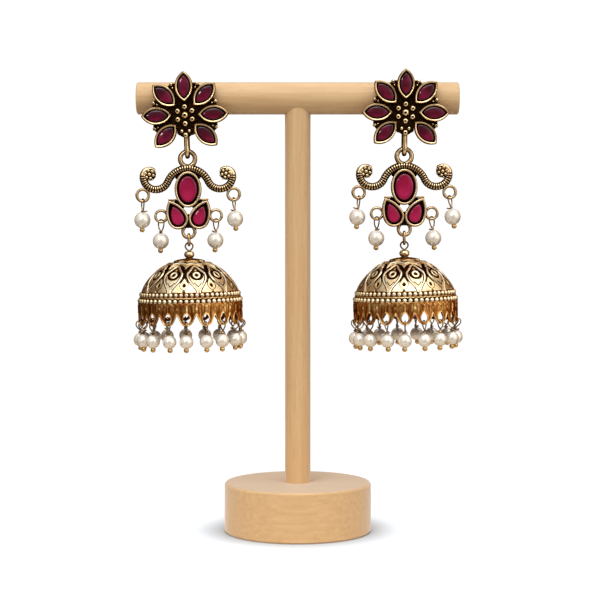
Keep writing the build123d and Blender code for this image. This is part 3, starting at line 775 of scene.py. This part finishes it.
def connectorPatches():
    oval, pear = connector["oval"], connector["pear"]
    patches = [ropePatch(), castRing(connector["topRing"], cols=60, sides=14)]
    patches += setting(lambda inset: ovalLine(*oval["size"], inset), at(0, 0, oval["z"]))
    patches.append(castRing(connector["footRing"], 0, connector["footRing"]["z"]))
    for side in (-1, 1):
        patches += knobPatches(side)
        patches += setting(lambda inset: pearLine(*pear["size"], inset), pearPlace(side, "tilt"))
        for name in ("sideRing", "innerRing"):
            patches.append(castRing(connector[name], side * connector[name]["x"], connector[name]["z"]))
        # metal that fills the corners between the settings, its front crest painted light and its edges
        # painted shade
        for route, start, end, shine in connector["fills"]:
            line = smoothLine(np.array([(x, -0.1, z) for x, z in route]) * (side, 1, 1), 6)
            patches.append(wire(line, np.linspace(start, end, len(line)), (0.03, shine), 10, False, paintedLitFront))
    web = connector["web"]
    widths = np.interp(np.linspace(0, 1, 12), (0, 0.3, 0.7, 1), web["halfWidths"])
    rows = []
    for z, half in zip(np.linspace(*web["span"], 12), widths):
        rows.append([(share * half, -height, z) for share, height in web["section"]])
    patches.append(skin(rows, 0.12))
    return patches


def centreStonePatches():
    oval = cutStone(ovalLine, connector["ovalStone"])
    pear = cutStone(pearLine, connector["pearStone"])
    patches = [paintStoneGlow(placed(oval, at(0, 0, connector["oval"]["z"])))]
    return patches + [paintStoneGlow(placed(pear, pearPlace(side, "stoneTilt"))) for side in (-1, 1)]


drops = {
    "pearl": 2.5,  # radii, in millimetres
    "hole": 0.34,
    "ball": 0.8,
    "wire": 0.22,
    "rings": (("sideRing", -1), ("innerRing", -1), ("innerRing", 1), ("sideRing", 1)),
    # each hand-bent loop: how far it is turned, its width, and which way its cut end points
    "loops": {
        "left": ((30, 0.85, -15), (52, 1.15, 200), (-48, 1.05, 190), (-28, 0.85, 170)),
        "right": ((24, 0.85, 150), (40, 1.1, 10), (-50, 1.05, 180), (-38, 0.95, 195)),
    },
}


def pearlPatch(radius):
    hole = drops["hole"]
    start = np.arcsin(hole / radius)
    profile = [(hole * 0.8, radius * cos(start) - 0.25, 0.2), (hole * 0.95, radius * cos(start) - 0.05, 0.5)]
    profile += [(radius * sin(a), radius * cos(a), 1.0) for a in np.linspace(start, pi - start, 22)]
    profile += [(hole * 0.95, 0.05 - radius * cos(start), 0.5), (hole * 0.8, 0.25 - radius * cos(start), 0.2)]
    return turned(profile, 40)


# A headpin bent by hand: up from the pearl, over the ring's wire, down, once round itself and cut off.
def dropPinPatches(pearlZ, turn, width, cut):
    neck = pearlZ + drops["pearl"]
    rise = neck + 0.15
    cutX, cutY = polar(1, cut)
    route = [
        (0, 0, neck - 0.6), (0, 0, rise), (0.02, 0.1, rise + 0.35), (0, width * 0.75, rise * 0.62),
        (0, width, rise * 0.3), (0, width * 0.85, 0.25), (0, width * 0.3, 0.72), (0, -width * 0.45, 0.68),
        (0, -width * 0.95, 0.1), (0.05, -width * 0.8, rise * 0.45), (0.12, -0.3, rise + 0.55),
        (0.3, 0.12, rise + 0.25), (0.0, 0.38, rise + 0.15), (-0.34, 0.05, rise + 0.08),
        (0.0, -0.36, rise + 0.02), (cutX * 0.75, cutY * 0.75, rise + 0.05),
        (cutX * 1.35, cutY * 1.35, rise + 0.2),
    ]
    pin = placed(wire(smoothLine(route, 7), drops["wire"], 0.8, 8), Matrix.Rotation(radians(turn), 4, "Z"))
    knob = placed(ball(drops["ball"], 0.9), at(0, 0, pearlZ - drops["pearl"] - 0.6 * drops["ball"]))
    return [pin, knob]


linkage = {
    "link": {"wire": 0.42, "halfWidth": 1.07},
    "eyeWire": 0.25,
    "finial": {"top": -1.9, "bottom": -4.0, "radius": 1.6, "neck": 0.42},
}


def linkPatches(straight):
    half = linkage["link"]["halfWidth"]
    top, foot = arc((0, 0), half, 0, 180), arc((0, -straight), half, 180, 360)
    path = np.vstack([top, foot])[:, [1, 0, 2]]
    path = evenly(np.vstack([path, path[:1]]), 0.2)[0][:-1]
    # the link's crest towards the front is painted highlight and its edges painted shade
    return [wire(path, linkage["link"]["wire"], (0.12, 0.8), 12, True, paintedLitFront)]


def eyePatches():
    route = [
        (0.05, 0.05, -5.32), (0.05, 0.05, -2.32), (-0.1, 0.1, -1.87), (-0.75, 0.1, -1.27),
        (-1.15, 0.05, -0.62), (-1.05, 0, 0.08), (-0.55, 0, 0.6), (0.05, 0, 0.76), (0.62, 0, 0.58),
        (1.08, 0, 0.06), (1.15, -0.05, -0.62), (0.72, -0.1, -1.3), (0.12, -0.12, -1.82),
        (-0.25, -0.12, -2.02),
    ]
    head = [(0, -5.6, 0.4), (0.8, -5.55, 0.5), (1.1, -5.35, 0.5), (1.0, -5.15, 0.3), (0.3, -5.1, 0.2)]
    # the pin's crest towards the front is painted highlight and its edges painted shade
    pin = wire(smoothLine(route, 7), linkage["eyeWire"], (0.1, 0.5), 9, False, paintedLitFront)
    return [pin, turned(head, 20)]


def finialPatches():
    finial = linkage["finial"]
    top, bottom, radius, neck = [finial[key] for key in ("top", "bottom", "radius", "neck")]
    centre, half = (top + bottom) / 2, (top - bottom) / 2
    profile = [(0.35, top - 0.08, 0.1), (0.5, top, 0.5)]
    for a in np.linspace(0.25, pi - 0.25, 16):
        profile.append((neck + (radius - neck) * sin(a) ** 0.8, centre + half * cos(a), 0.45 + 0.55 * sin(a)))
    profile += [(0.95, bottom + 0.05, 0.2), (1.25, bottom - 0.02, 0.5), (1.3, bottom - 0.2, 0.3)]
    return [turned(profile, 36)]


bell = {
    "radius": 16.2,
    "centre": -20.57,  # the dome's centre below the hinge
    "wall": 0.7,
    "motifs": 10,
    # angles down from the top of the dome
    "grooveAngle": 11.2,  # a ring pressed into the cap
    "capAngle": 16.6,
    "eyeAngle": 44.5,
    "motifSpan": (28.9, 67.4),
    "dropSpan": (48.5, 63.7),  # a small drop between each two motifs
    "chase": 0.26,  # depth of the darkened ground
    "lineWire": 0.33,
    "darkWire": 0.15,
    "valley": {"left": -3.1, "right": -0.6},  # the direction of a gap between two motifs
    "turn": {"left": -0.5, "right": -4.3},  # how far each bell has turned on its link
    # the two rows of beads: height, distance from the axis, bead radius and count
    "beadRows": ((-15.05, 15.1, 0.74, 59), (-16.95, 15.62, 0.78, 57)),
}
# half-width of a petal motif and of the small drop between two, by angle down from the top of the dome
motifHalf = smoothWidth((
    (28.9, 0.0), (32, 0.75), (35.8, 1.25), (40, 2.1), (43, 2.6), (46.5, 2.76), (50, 2.65), (55, 2.15),
    (61, 1.05), (64.5, 0.5), (68, 0.3),
))
dropHalf = smoothWidth((
    (48.5, 0.0), (50, 0.2), (53, 0.65), (56, 1.02), (58.5, 1.16), (61, 0.95), (63, 0.42), (63.7, 0.0),
))


def domePoint(angle, azimuth, lift=0.0):
    angle, azimuth = np.broadcast_arrays(np.radians(angle), np.radians(azimuth))
    reach = bell["radius"] + lift
    return roundAxis(reach * np.sin(angle), azimuth, bell["centre"] + reach * np.cos(angle))


# Where the chased pattern is dark, from 0 to 1, at an angle down the dome and an angle sideways from the
# middle of a motif. Also gives where the cap ends.
def chasing(angle, sideways):
    reach = bell["radius"] * np.sin(np.radians(angle))
    half = 180 / bell["motifs"]
    aside = np.radians(sideways) * reach
    valley = np.radians(half - abs(sideways)) * reach
    edge = abs(aside) - motifHalf(angle)
    down = np.radians(angle - bell["eyeAngle"]) * bell["radius"]
    # inside a motif: dark round the eye, with a small lit leaf above it
    ground = np.maximum(eased(2.15, 1.95, np.hypot(aside, down)), 0.85 * eased(0.3, -0.2, down))
    ground = ground * eased(-0.2, -0.4, edge)
    ground = ground * (1 - 0.6 * eased(1.0, 0.6, np.hypot(aside / 0.5, (down + 2.5) / 0.7)))
    # a drop with a dark hole between two motifs
    dropTop, dropFoot = bell["dropSpan"]
    inDrop = (angle > dropTop) & (angle < dropFoot) & (valley < dropHalf(angle))
    hole = eased(1.12, 0.85, np.hypot(valley / 0.5, np.radians(angle - 58.3) * bell["radius"] / 0.68))
    # outside: dark above, then light fields with a dark nick above the beads
    around = np.where(angle < 47.5, 1.0, eased(47.5, 50.5, angle) * eased(56.5, 53.0, angle) * 0.5)
    around = np.maximum(around, eased(51.0, 47.5, angle))
    nick = np.hypot(valley / 0.5, np.radians(angle - 66) * bell["radius"] / 0.35)
    around = np.maximum(around, eased(1.0, 0.6, nick))
    cusp = np.interp(angle, (24, 27, 30, 34.6), (2.4, 1.1, 0.5, 0.0))
    scallop = scallopAngle(sideways)
    light = eased(0.12, -0.1, valley - cusp) * (angle > scallop)
    light = np.maximum(eased(1.1, 0.7, abs(angle - scallop)), light)
    around = np.where(angle < 36, np.maximum(1 - light, 0), around)
    motifTop, motifFoot = bell["motifSpan"]
    dark = np.where((angle > motifTop) & (edge < 0), ground, np.where(inDrop, hole, around))
    capEdge = bell["capAngle"] + 1.1 * np.cos(np.radians(10 * (sideways + half)))
    dark = np.where(angle < capEdge + 1.2, eased(capEdge - 0.1, capEdge + 0.5, angle), dark)
    dark = np.where((angle > capEdge + 1.2) & (angle < scallop - 1.0), np.minimum(dark, 0.9), dark)
    return np.maximum(dark, eased(motifFoot - 0.5, motifFoot, angle)), capEdge


# The scalloped line above the motifs, which dips between them.
def scallopAngle(sideways):
    return 22.4 + 3.6 * (abs(sideways) * bell["motifs"] / 180) ** 2.4


def outOfDome(points):
    outwards = points - np.array([0, 0, bell["centre"]])
    return outwards / np.linalg.norm(outwards, axis=1)[:, None]


# A raised or sunken line drawn on the dome: (angle down, millimetres sideways of an axis) points.
def domeLine(points, axis, radius, wear, lift, sides=6, closed=False):
    angle, aside = np.asarray(points, float).T
    path = domePoint(angle, axis + np.degrees(aside / (bell["radius"] * np.sin(np.radians(angle)))), lift)
    return wire(path, radius, wear, sides, closed, outOfDome(path))


def domePatches(side):
    count = bell["motifs"]
    half = 180 / count
    first = bell["valley"][side] + half

    def everyMotif(sideways):
        return np.concatenate([first + 360 / count * m + sideways for m in range(count)])

    sideways = np.linspace(-half, half, 57)[:-1]
    angles = np.concatenate([[3.0, 6.0, 8.0], np.arange(9.5, 67.6, 0.56)])
    rows = np.repeat(angles[:, None], len(sideways), 1)
    dark, capEdge = chasing(rows, np.repeat(sideways[None], len(angles), 0))
    capHeight = eased(capEdge + 0.4, capEdge - 0.5, rows)
    fromGroove = abs(rows - bell["grooveAngle"])
    lift = -bell["chase"] * dark + 0.3 * capHeight - 0.12 * eased(0.5, 0.2, fromGroove)
    level = 0.85 - 0.83 * dark - 0.5 * capHeight - 0.3 * eased(0.6, 0.2, fromGroove) - 0.1 * eased(9, 5, rows)
    level = level + 0.25 * eased(0.6, 0.1, abs(rows - capEdge))
    points = domePoint(angles[:, None], everyMotif(sideways)[None], np.tile(lift, (1, count)))
    patches = [skin(points, np.clip(np.tile(level, (1, count)), 0, 1))]
    # a motif's raised edge, between two sunken lines
    sunk = (bell["darkWire"], 0.02, -0.06, 5)
    edge = np.linspace(*bell["motifSpan"], 54)
    outer, inner = np.linspace(30.5, 66.0, 42), np.linspace(33.5, 57.0, 28)
    contours = (
        (edge, motifHalf(edge), (bell["lineWire"], (0.6, 1.0), -0.02)),
        (outer, motifHalf(outer) + 0.47, sunk),
        (inner, np.maximum(motifHalf(inner) - 0.47, 0.1), sunk),
    )
    # the dark line round a drop, the mark in a motif's foot, the ray above a drop, and a motif's eye
    dropSide = [(50, 0.3), (53, 0.82), (56, 1.2), (58.5, 1.34), (61, 1.14), (63.2, 0.6)]
    mirrored = [(angle, -aside) for angle, aside in dropSide[::-1]]
    drop = smoothLine([(48.0, 0)] + dropSide + [(64.2, 0)] + mirrored, 3, True)
    chevronSide = [(55.3, -1.1), (57.0, -0.75), (59.0, -0.28)]
    mirrored = [(angle, -aside) for angle, aside in chevronSide[::-1]]
    chevron = smoothLine(chevronSide + [(60.0, 0)] + mirrored, 2)
    spike = [(angle, 0) for angle in np.linspace(25.5, 33.5, 8)]
    eye = turned([
        (1.36, -0.25, 0.1), (1.3, 0.02, 0.7), (1.12, 0.13, 1.0), (0.88, 0.14, 1.0), (0.68, 0.08, 0.9),
        (0.54, -0.06, 0.2), (0.42, -0.14, 0.0), (0.0, -0.18, 0.0),
    ], 24)
    for m in range(count):
        axis = first + 360 / count * m
        for way in (-1, 1):
            for angle, aside, line in contours:
                patches.append(domeLine(np.stack([angle, way * aside], 1), axis, *line))
        patches.append(domeLine(chevron, axis, bell["darkWire"] * 1.15, 0.02, -0.05, 5))
        patches.append(domeLine(drop, axis + half, *sunk, True))
        patches.append(domeLine(spike, axis + half, np.linspace(0.32, 0.1, 8), (0.6, 1.0), 0.0))
        spot = Matrix.Translation(domePoint(bell["eyeAngle"], axis)) @ Matrix.Rotation(radians(axis), 4, "Z")
        outward = spot @ Matrix.Rotation(radians(bell["eyeAngle"]), 4, "X")
        patches.append(placed(eye, outward @ Matrix.Diagonal((0.93, 1.08, 1, 1))))
    around = np.linspace(-half, half, 25)[:-1]
    scallops = domePoint(np.tile(scallopAngle(around), count), everyMotif(around), 0.03)
    patches.append(wire(scallops, bell["lineWire"] - 0.01, (0.6, 1.0), 6, True, outOfDome(scallops)))
    within = bell["radius"] - bell["wall"]
    down = np.radians(np.linspace(2, 66, 22))
    under = [(within * sin(a), bell["centre"] + within * cos(a), 0.35) for a in down]
    under += [(14.6, -15.4, 0.25), (15.0, -16.5, 0.25), (15.4, -17.3, 0.25), (15.62, -17.9, 0.3)]
    patches.append(turned(under, 96))
    return patches


def bandPatches():
    columns = 240
    azimuths = fullTurn(columns)
    profile = (
        (14.85, -14.15, 0.1), (15.05, -14.3, 0.4), (15.12, -14.42, 0.05), (15.1, -15.25, 0.05),
        (15.35, -15.62, 0.25), (15.72, -15.84, 0.6), (15.78, -16.0, 0.75), (15.72, -16.14, 0.5),
        (15.52, -16.28, 0.08), (15.55, -17.1, 0.08), (15.85, -17.32, 0.25), (16.08, -17.42, 0.5),
        (16.16, -17.6, 0.5), (15.9, -17.8, 0.3),
    )
    rows = []
    for radius, z, _ in profile:
        wave = 0.1 * np.cos(60 * azimuths) * (abs(z + 15.92) < 0.35)  # the roll between the beads is wavy
        rows.append(roundAxis(radius, azimuths, z + wave))
    patches = [skin(rows, [row[2] for row in profile])]
    for z, reach, radius, count in bell["beadRows"]:
        bead = granule(radius, 12, 7, 0.9)
        for step in range(count):
            turn = Matrix.Rotation(2 * pi * step / count, 4, "Z") @ at(0, reach - 0.02, z) @ frontwards
            patches.append(placed(bead, turn))
    return patches


skirt = {
    "radius": 16.2,
    "wall": 0.5,
    "top": -17.45,
    "notch": -21.0,  # where two lobes meet
    "lobes": 17,
    "hole": (1.04, 1.24, -22.3),  # half width, half height, height of its middle
    "ribPitch": 0.98,
}


# One lobe as rays out from the middle of its hole, unrolled flat: each ray's direction, where it leaves the
# hole and where it leaves the lobe. Also gives the lobe's outline.
def lobeRays(count):
    halfPitch = pi * skirt["radius"] / skirt["lobes"]
    side = smoothLine([(halfPitch, skirt["notch"]), (halfPitch - 0.42, -21.95), (halfPitch - 0.9, -22.9),
                       (halfPitch - 1.5, -23.75), (0.75, -24.28), (0.0, -24.42)], 10)
    halfway = (skirt["top"] + skirt["notch"]) / 2
    right = np.vstack([[(0, skirt["top"]), (halfPitch, skirt["top"]), (halfPitch, halfway)], side])
    outline = np.vstack([right, (right * (-1, 1))[::-1][1:]])
    holeX, holeZ, holeAt = skirt["hole"]
    angles = np.linspace(pi / 2, pi / 2 - 2 * pi, count, endpoint=False)
    rays = []
    for angle in angles:
        dx, dz = cos(angle), sin(angle)
        far = 0
        for (x0, z0), (x1, z1) in zip(outline, outline[1:]):
            ex, ez = x1 - x0, z1 - z0
            cross = dx * ez - dz * ex
            if abs(cross) < 1e-9:
                continue
            t = (x0 * ez - (z0 - holeAt) * ex) / cross
            u = (x0 * dz - (z0 - holeAt) * dx) / cross
            if t > 0 and -1e-6 <= u <= 1 + 1e-6:
                far = max(far, t)
        point = 1 + 0.28 * max(0, dz) ** 6  # draws the hole out upwards, like a drop
        near = point / hypot(dx / holeX, dz / holeZ)
        rays.append((dx, dz, near, far))
    return np.array(rays), outline


def skirtPatches():
    cols = 84
    rays, outline = lobeRays(cols)
    freeEdge = outline[2:-2]
    holeAt = skirt["hole"][2]
    dx, dz, near, far = rays.T
    front, wear = [], []
    for share in np.linspace(1, 0, 15):
        reach = near + (far - near) * share
        x, z = dx * reach, holeAt + dz * reach
        flat = np.stack([x, z], 1)
        edge = np.min(np.linalg.norm(flat[:, None] - freeEdge[None], axis=2), 1)
        # a rim round the lobe and its hole, ribs above, a spine down the middle and a row of small leaves
        rim = np.maximum(eased(0.5, 0.2, edge), eased(0.42, 0.18, reach - near))
        upper = eased(-20.6, -19.9, z)
        rib = 0.5 + 0.5 * np.cos(2 * pi * x / skirt["ribPitch"])
        spine = eased(0.3, 0.1, abs(x)) * eased(-21.3, -20.9, z) * eased(-18.2, -18.8, z)
        leaf = eased(0.3, 0.1, abs(z + 18.15 + 0.35 * np.cos(pi * x / skirt["ribPitch"])))
        level = 0.46 + 0.42 * rim + 0.1 * rib * upper + 0.3 * spine + 0.25 * leaf
        lift = 0.16 * rim + 0.1 * rib * upper + 0.14 * spine + 0.1 * leaf - 0.12
        front.append((x, z, skirt["radius"] + lift))
        wear.append(np.clip(level, 0, 1))
    inner = skirt["radius"] - skirt["wall"]
    for share, radius in ((0, inner + 0.2), (0.03, inner), (0.5, inner), (0.97, inner), (1, inner + 0.2)):
        reach = near + (far - near) * share
        front.append((dx * reach, holeAt + dz * reach, np.full(cols, radius)))
        wear.append(np.full(cols, 0.3))
    patches = []
    for step in range(skirt["lobes"]):
        turn = 2 * pi * step / skirt["lobes"]
        rows = [roundAxis(radius, turn + x / skirt["radius"], z) for x, z, radius in front]
        patches.append(skin(rows, np.array(wear), looped=True))
    return patches


bellDrops = {
    "pearl": 2.09,
    "pearlZ": -5.98,  # below the wire that rests in its hole
    "seat": (15.85, -23.12),  # distance from the axis, and height
    "wire": 0.21,
    # how far each of the drops leans, in degrees, since no two hang alike
    "sideways": (2, -1, 3, -2, 3, -2, 3, -4, 3, 0, -3, 4, -3, 3, -2, 2, -3),
    "outwards": (0, 1, 0, 2, 3, 0, 1, 0, -1, 1, 0, 1, 3, 1, 0, 1, 0),
}


def bellDropPlaces():
    reach, z = bellDrops["seat"]
    places = []
    for step, (sideways, outwards) in enumerate(zip(bellDrops["sideways"], bellDrops["outwards"])):
        lean = Matrix.Rotation(radians(outwards), 4, "X") @ Matrix.Rotation(radians(sideways), 4, "Y")
        places.append(Matrix.Rotation(2 * pi * step / skirt["lobes"], 4, "Z") @ at(0, reach, z) @ lean)
    return places


# A pin like those above, with a wider loop and a longer wrap.
def bellPinPatches(number):
    size = 1 + 0.12 * sin(number * 2.3)
    neck = bellDrops["pearlZ"] + bellDrops["pearl"]
    cut = 70 * number
    route = [
        (0, 0, neck - 0.5), (0, 0, neck + 0.5), (0, 0.12, -2.75), (0, 0.8 * size, -2.1),
        (0, 1.25 * size, -1.3), (0, 0.95 * size, -0.4), (0, 0.1, 0.0), (0, -0.9 * size, -0.35),
        (0, -1.3 * size, -1.25), (0.04, -0.85 * size, -2.15), (0.1, -0.2, -2.75), (0.38, 0.1, neck + 0.75),
        (0.0, 0.42, neck + 0.6), (-0.42, 0, neck + 0.45), (0, -0.42, neck + 0.32), (0.42, 0, neck + 0.22),
        (0, 0.42, neck + 0.16), (*polar(0.5, cut), neck + 0.22), (*polar(0.8, cut), neck + 0.42),
    ]
    foot = bellDrops["pearlZ"] - bellDrops["pearl"] - 0.6 * drops["ball"]
    knob = placed(ball(drops["ball"], 0.9, 14, 9), at(0, 0, foot))
    return [wire(smoothLine(route, 5), bellDrops["wire"], 0.75, 6), knob]


pearlOfDrop, pearlOfBell = pearlPatch(drops["pearl"]), pearlPatch(bellDrops["pearl"])
band, lobes = bandPatches(), skirtPatches()
for side in ("left", "right"):
    staple, bailFoot = jointAt(side + "_bail_swing"), jointAt(side + "_connector_swing")
    linkTop, linkFoot = jointAt(side + "_link_swing"), jointAt(side + "_bell_swing")
    stapleAt = hung(staple, bailFoot)
    flowerAt = stapleAt @ at(0, flower["staple"]["back"], flower["staple"]["drop"])
    connectorAt = hung(bailFoot, linkTop) @ at(0, 0, -connector["ringFall"])
    linkAt = hung(linkTop, linkFoot)
    straight = (linkFoot - linkTop).length - linkage["link"]["halfWidth"]
    bellAt = hung(linkFoot, middle(side + "_finial_bead"))
    turnedAt = bellAt @ Matrix.Rotation(radians(bell["turn"][side]), 4, "Z")
    upperPearls, upperPins = [], []
    for number, (ringName, way) in enumerate(drops["rings"]):
        ring = connector[ringName]
        foot = connectorAt @ Vector((way * ring["x"], 0, ring["z"] - ring["mean"]))
        pearlAt = middle(f"{side}_drop_pearl_{number + 1}")
        fall = -(pearlAt - foot).length
        place = hung(foot, pearlAt)
        upperPearls.append(placed(pearlOfDrop, place @ at(0, 0, fall)))
        upperPins += [placed(patch, place) for patch in dropPinPatches(fall, *drops["loops"][side][number])]
    places = bellDropPlaces()
    lowerPearls = [placed(pearlOfBell, place @ at(0, 0, bellDrops["pearlZ"])) for place in places]
    lowerPins = [placed(patch, place) for number, place in enumerate(places)
                 for patch in bellPinPatches(number)]

    # each piece's shapes, place, body, slot and material, and the CAD nodes that it stands for
    onConnector, onBell = side + "_connector", side + "_bell"
    for name, patches, place, body, slotName, material, nodes in (
        ("flower", studPatches(), flowerAt, "stand", "antique_gold", polishedGold, ["stud_flower"]),
        ("petal_stones", petalStonePatches(), flowerAt, "stand", "ruby_stone", petalRuby,
         numbered("petal_stone", 7)),
        ("bail_loop", bailPatches(), stapleAt, side + "_bail", "antique_gold", polishedGold, ["bail"]),
        ("connector_setting", connectorPatches(), connectorAt, onConnector, "antique_gold", castGold,
         ["connector_frame"]),
        ("centre_stones", centreStonePatches(), connectorAt, onConnector, "ruby_stone", centreRuby,
         ["oval_stone"] + numbered("pear_stone", 2)),
        ("drop_pearls", upperPearls, Matrix(), onConnector, "ivory_pearl", pearlLacquer,
         numbered("drop_pearl", 4)),
        ("drop_pins", upperPins, Matrix(), onConnector, "gilt_wire", giltWire, numbered("drop_pin", 4)),
        ("bell_link", linkPatches(straight), linkAt, side + "_link", "antique_gold", castGold, ["link"]),
        ("eye", eyePatches(), bellAt, onBell, "antique_gold", castGold, ["eye_pin"]),
        ("finial", finialPatches(), bellAt, onBell, "antique_gold", castGold, ["finial_bead"]),
        ("dome", domePatches(side), turnedAt, onBell, "antique_gold", sheetGold, ["bell"]),
        ("bead_band", band, turnedAt, onBell, "antique_gold", sheetGold, ["bell"]),
        ("skirt", lobes, turnedAt, onBell, "antique_gold", skirtGold, ["bell"]),
        ("skirt_pearls", lowerPearls, turnedAt, onBell, "ivory_pearl", pearlLacquer, ["bell_pearls"]),
        ("skirt_pins", lowerPins, turnedAt, onBell, "gilt_wire", giltWire, ["bell_pins"]),
    ):
        replaced = [f"{side}_{node}" for node in nodes]
        makePiece(f"{side}_{name}", patches, place, body, slotName, material, replaced)
    print(side, "earring made")

for node, material in (("stand_bar", beechAcross), ("stand_base", beechAcross), ("stand_post", beechUp),
                       ("left_stud_post", giltWire), ("right_stud_post", giltWire)):
    for holder in frame["nodes"][node].material_slots:
        holder.material = material

studio = {
    "camera": (0.71, -513.48, 96.04),  # millimetres
    "tiltDown": 2.619,
    "lens": 98.64,
    "floor": "#E9F1F9",
    "floorGlow": 0.24,  # what lifts the floor to the white of the background
    "contact": 0.013,  # how far the base's own shade spreads on the floor, in metres
    "bounce": "#CFC3B2",  # the floor as the object sees it
    "floorRadius": 0.12,
    # the room from behind the object, 0, round to behind the camera, 1: brown walls, softboxes all round,
    # and a dim middle
    "room": ((0.0, (0.18, 0.1, 0.05)), (0.3, (0.28, 0.16, 0.08)), (0.43, (0.44, 0.26, 0.13)),
             (0.5, (0.64, 0.46, 0.29)), (0.6, (0.98, 0.88, 0.72)), (0.74, 1.12), (0.88, 1.12),
             (0.94, (0.75, 0.64, 0.52)), (0.975, (0.32, 0.21, 0.13)), (1.0, (0.22, 0.14, 0.08))),
    "lowerRoom": 0.35,  # how bright the room is below the table
    "sides": (0.3, 1.72),  # how bright the left and the right look in the metal
    "evenSides": 1.04,  # how bright both are on dull surfaces, which see the whole room
    "overhead": ((0.72, 1.4), (0.84, 1.4), (0.96, 0.95)),  # the softbox above, from its edge to its middle
    "key": {"strength": 0.9, "angle": 40, "from": (-0.15, -0.8, 0.85)},
    "top": {"strength": 0.5, "angle": 60, "from": (0.15, -0.2, 1.0)},
    "window": {"strength": 0.16, "angle": 6, "from": (-0.42, -1.0, 0.3)},  # small, for glints
}
world = bpy.data.worlds.new("studio")
bpy.context.scene.world = world
world.use_nodes = True
tree = world.node_tree
tree.nodes.clear()
direction = addNode(tree, "TexCoord")
parts = addNode(tree, "SeparateXYZ", {}, {0: direction.outputs["Generated"]})
forward = addNode(tree, "MapRange", {"range": (1.0, -1.0)}, {"Value": parts.outputs["Y"]})
walls = addNode(tree, "ValToRGB", {"stops": studio["room"]}, {"Fac": forward})
height = addNode(tree, "MapRange", {"range": (-0.3, 0.15, studio["lowerRoom"], 1.0)},
                 {"Value": parts.outputs["Z"]})
above = addNode(tree, "MapRange", {"range": (0.62, 0.84)}, {"Value": parts.outputs["Z"]})
softbox = addNode(tree, "ValToRGB", {"stops": studio["overhead"]}, {"Fac": parts.outputs["Z"]})
room = addNode(tree, "Mix", {"data_type": "RGBA"}, {0: above, 6: walls, 7: softbox})
sideways = addNode(tree, "MapRange", {"range": (-1.0, 1.0, *studio["sides"])}, {"Value": parts.outputs["X"]})
ray = addNode(tree, "LightPath")
share = addNode(tree, "Mix", {2: studio["evenSides"]}, {0: ray.outputs["Is Glossy Ray"], 3: sideways})
power = addNode(tree, "Math", {"operation": "MULTIPLY"}, {0: height, 1: share})
glow = addNode(tree, "Background", {}, {"Color": room.outputs[2], "Strength": power})
seen = addNode(tree, "Background", {"Color": (1, 1, 1, 1), "Strength": 1.05})
both = addNode(tree, "MixShader", {}, {0: ray.outputs["Is Camera Ray"], 1: glow, 2: seen})
addNode(tree, "OutputWorld", {}, {"Surface": both})

for name in ("key", "top", "window"):
    lamp = bpy.data.lights.new(name, "SUN")
    lamp.energy, lamp.angle = studio[name]["strength"], radians(studio[name]["angle"])
    addObject(name, lamp).rotation_euler = Vector(studio[name]["from"]).to_track_quat("Z", "Y").to_euler()

# a round table with a clear white top, which throws back less light on the object than a sheet of paper would
floorMaterial, tree = newMaterial("paintedFloor")
spot = addNode(tree, "TexCoord").outputs["Object"]
paint = addNode(tree, "TexNoise", {"Scale": 1000 / 3, "Detail": 2.0}, {"Vector": spot})
bump = addNode(tree, "Bump", {"Strength": 0.05, "Distance": 0.0001}, {"Height": paint})
shade = addNode(tree, "AmbientOcclusion", {"Color": linear(studio["floor"]), "Distance": studio["contact"]})
shown = addNode(tree, "BsdfPrincipled", {"Roughness": 0.7, "Emission Strength": studio["floorGlow"]},
                {"Base Color": shade, "Emission Color": shade, "Normal": bump})
thrown = addNode(tree, "BsdfDiffuse", {"Color": linear(studio["bounce"])}, {"Normal": bump})
ray = addNode(tree, "LightPath")
both = addNode(tree, "MixShader", {}, {0: ray.outputs["Is Camera Ray"], 1: thrown, 2: shown})
addNode(tree, "OutputMaterial", {}, {"Surface": both})
turns = fullTurn(96)
floorMesh = bpy.data.meshes.new("floor")
ring = [(studio["floorRadius"] * cos(a), studio["floorRadius"] * sin(a), 0) for a in turns]
floorMesh.from_pydata(ring, [], [range(len(ring))])
floorMesh.materials.append(floorMaterial)
floor = addObject("floor", floorMesh)

lens = bpy.data.cameras.new("camera")
lens.lens, lens.sensor_width = studio["lens"], 36
lens.clip_start, lens.clip_end = 0.01, 100
camera = addObject("camera", lens)
camera.location = Vector(studio["camera"]) / 1000
camera.rotation_euler = (radians(90 - studio["tiltDown"]), 0, 0)
bpy.context.scene.camera = camera
bpy.context.scene.view_settings.view_transform = "Standard"
print("studio ready")
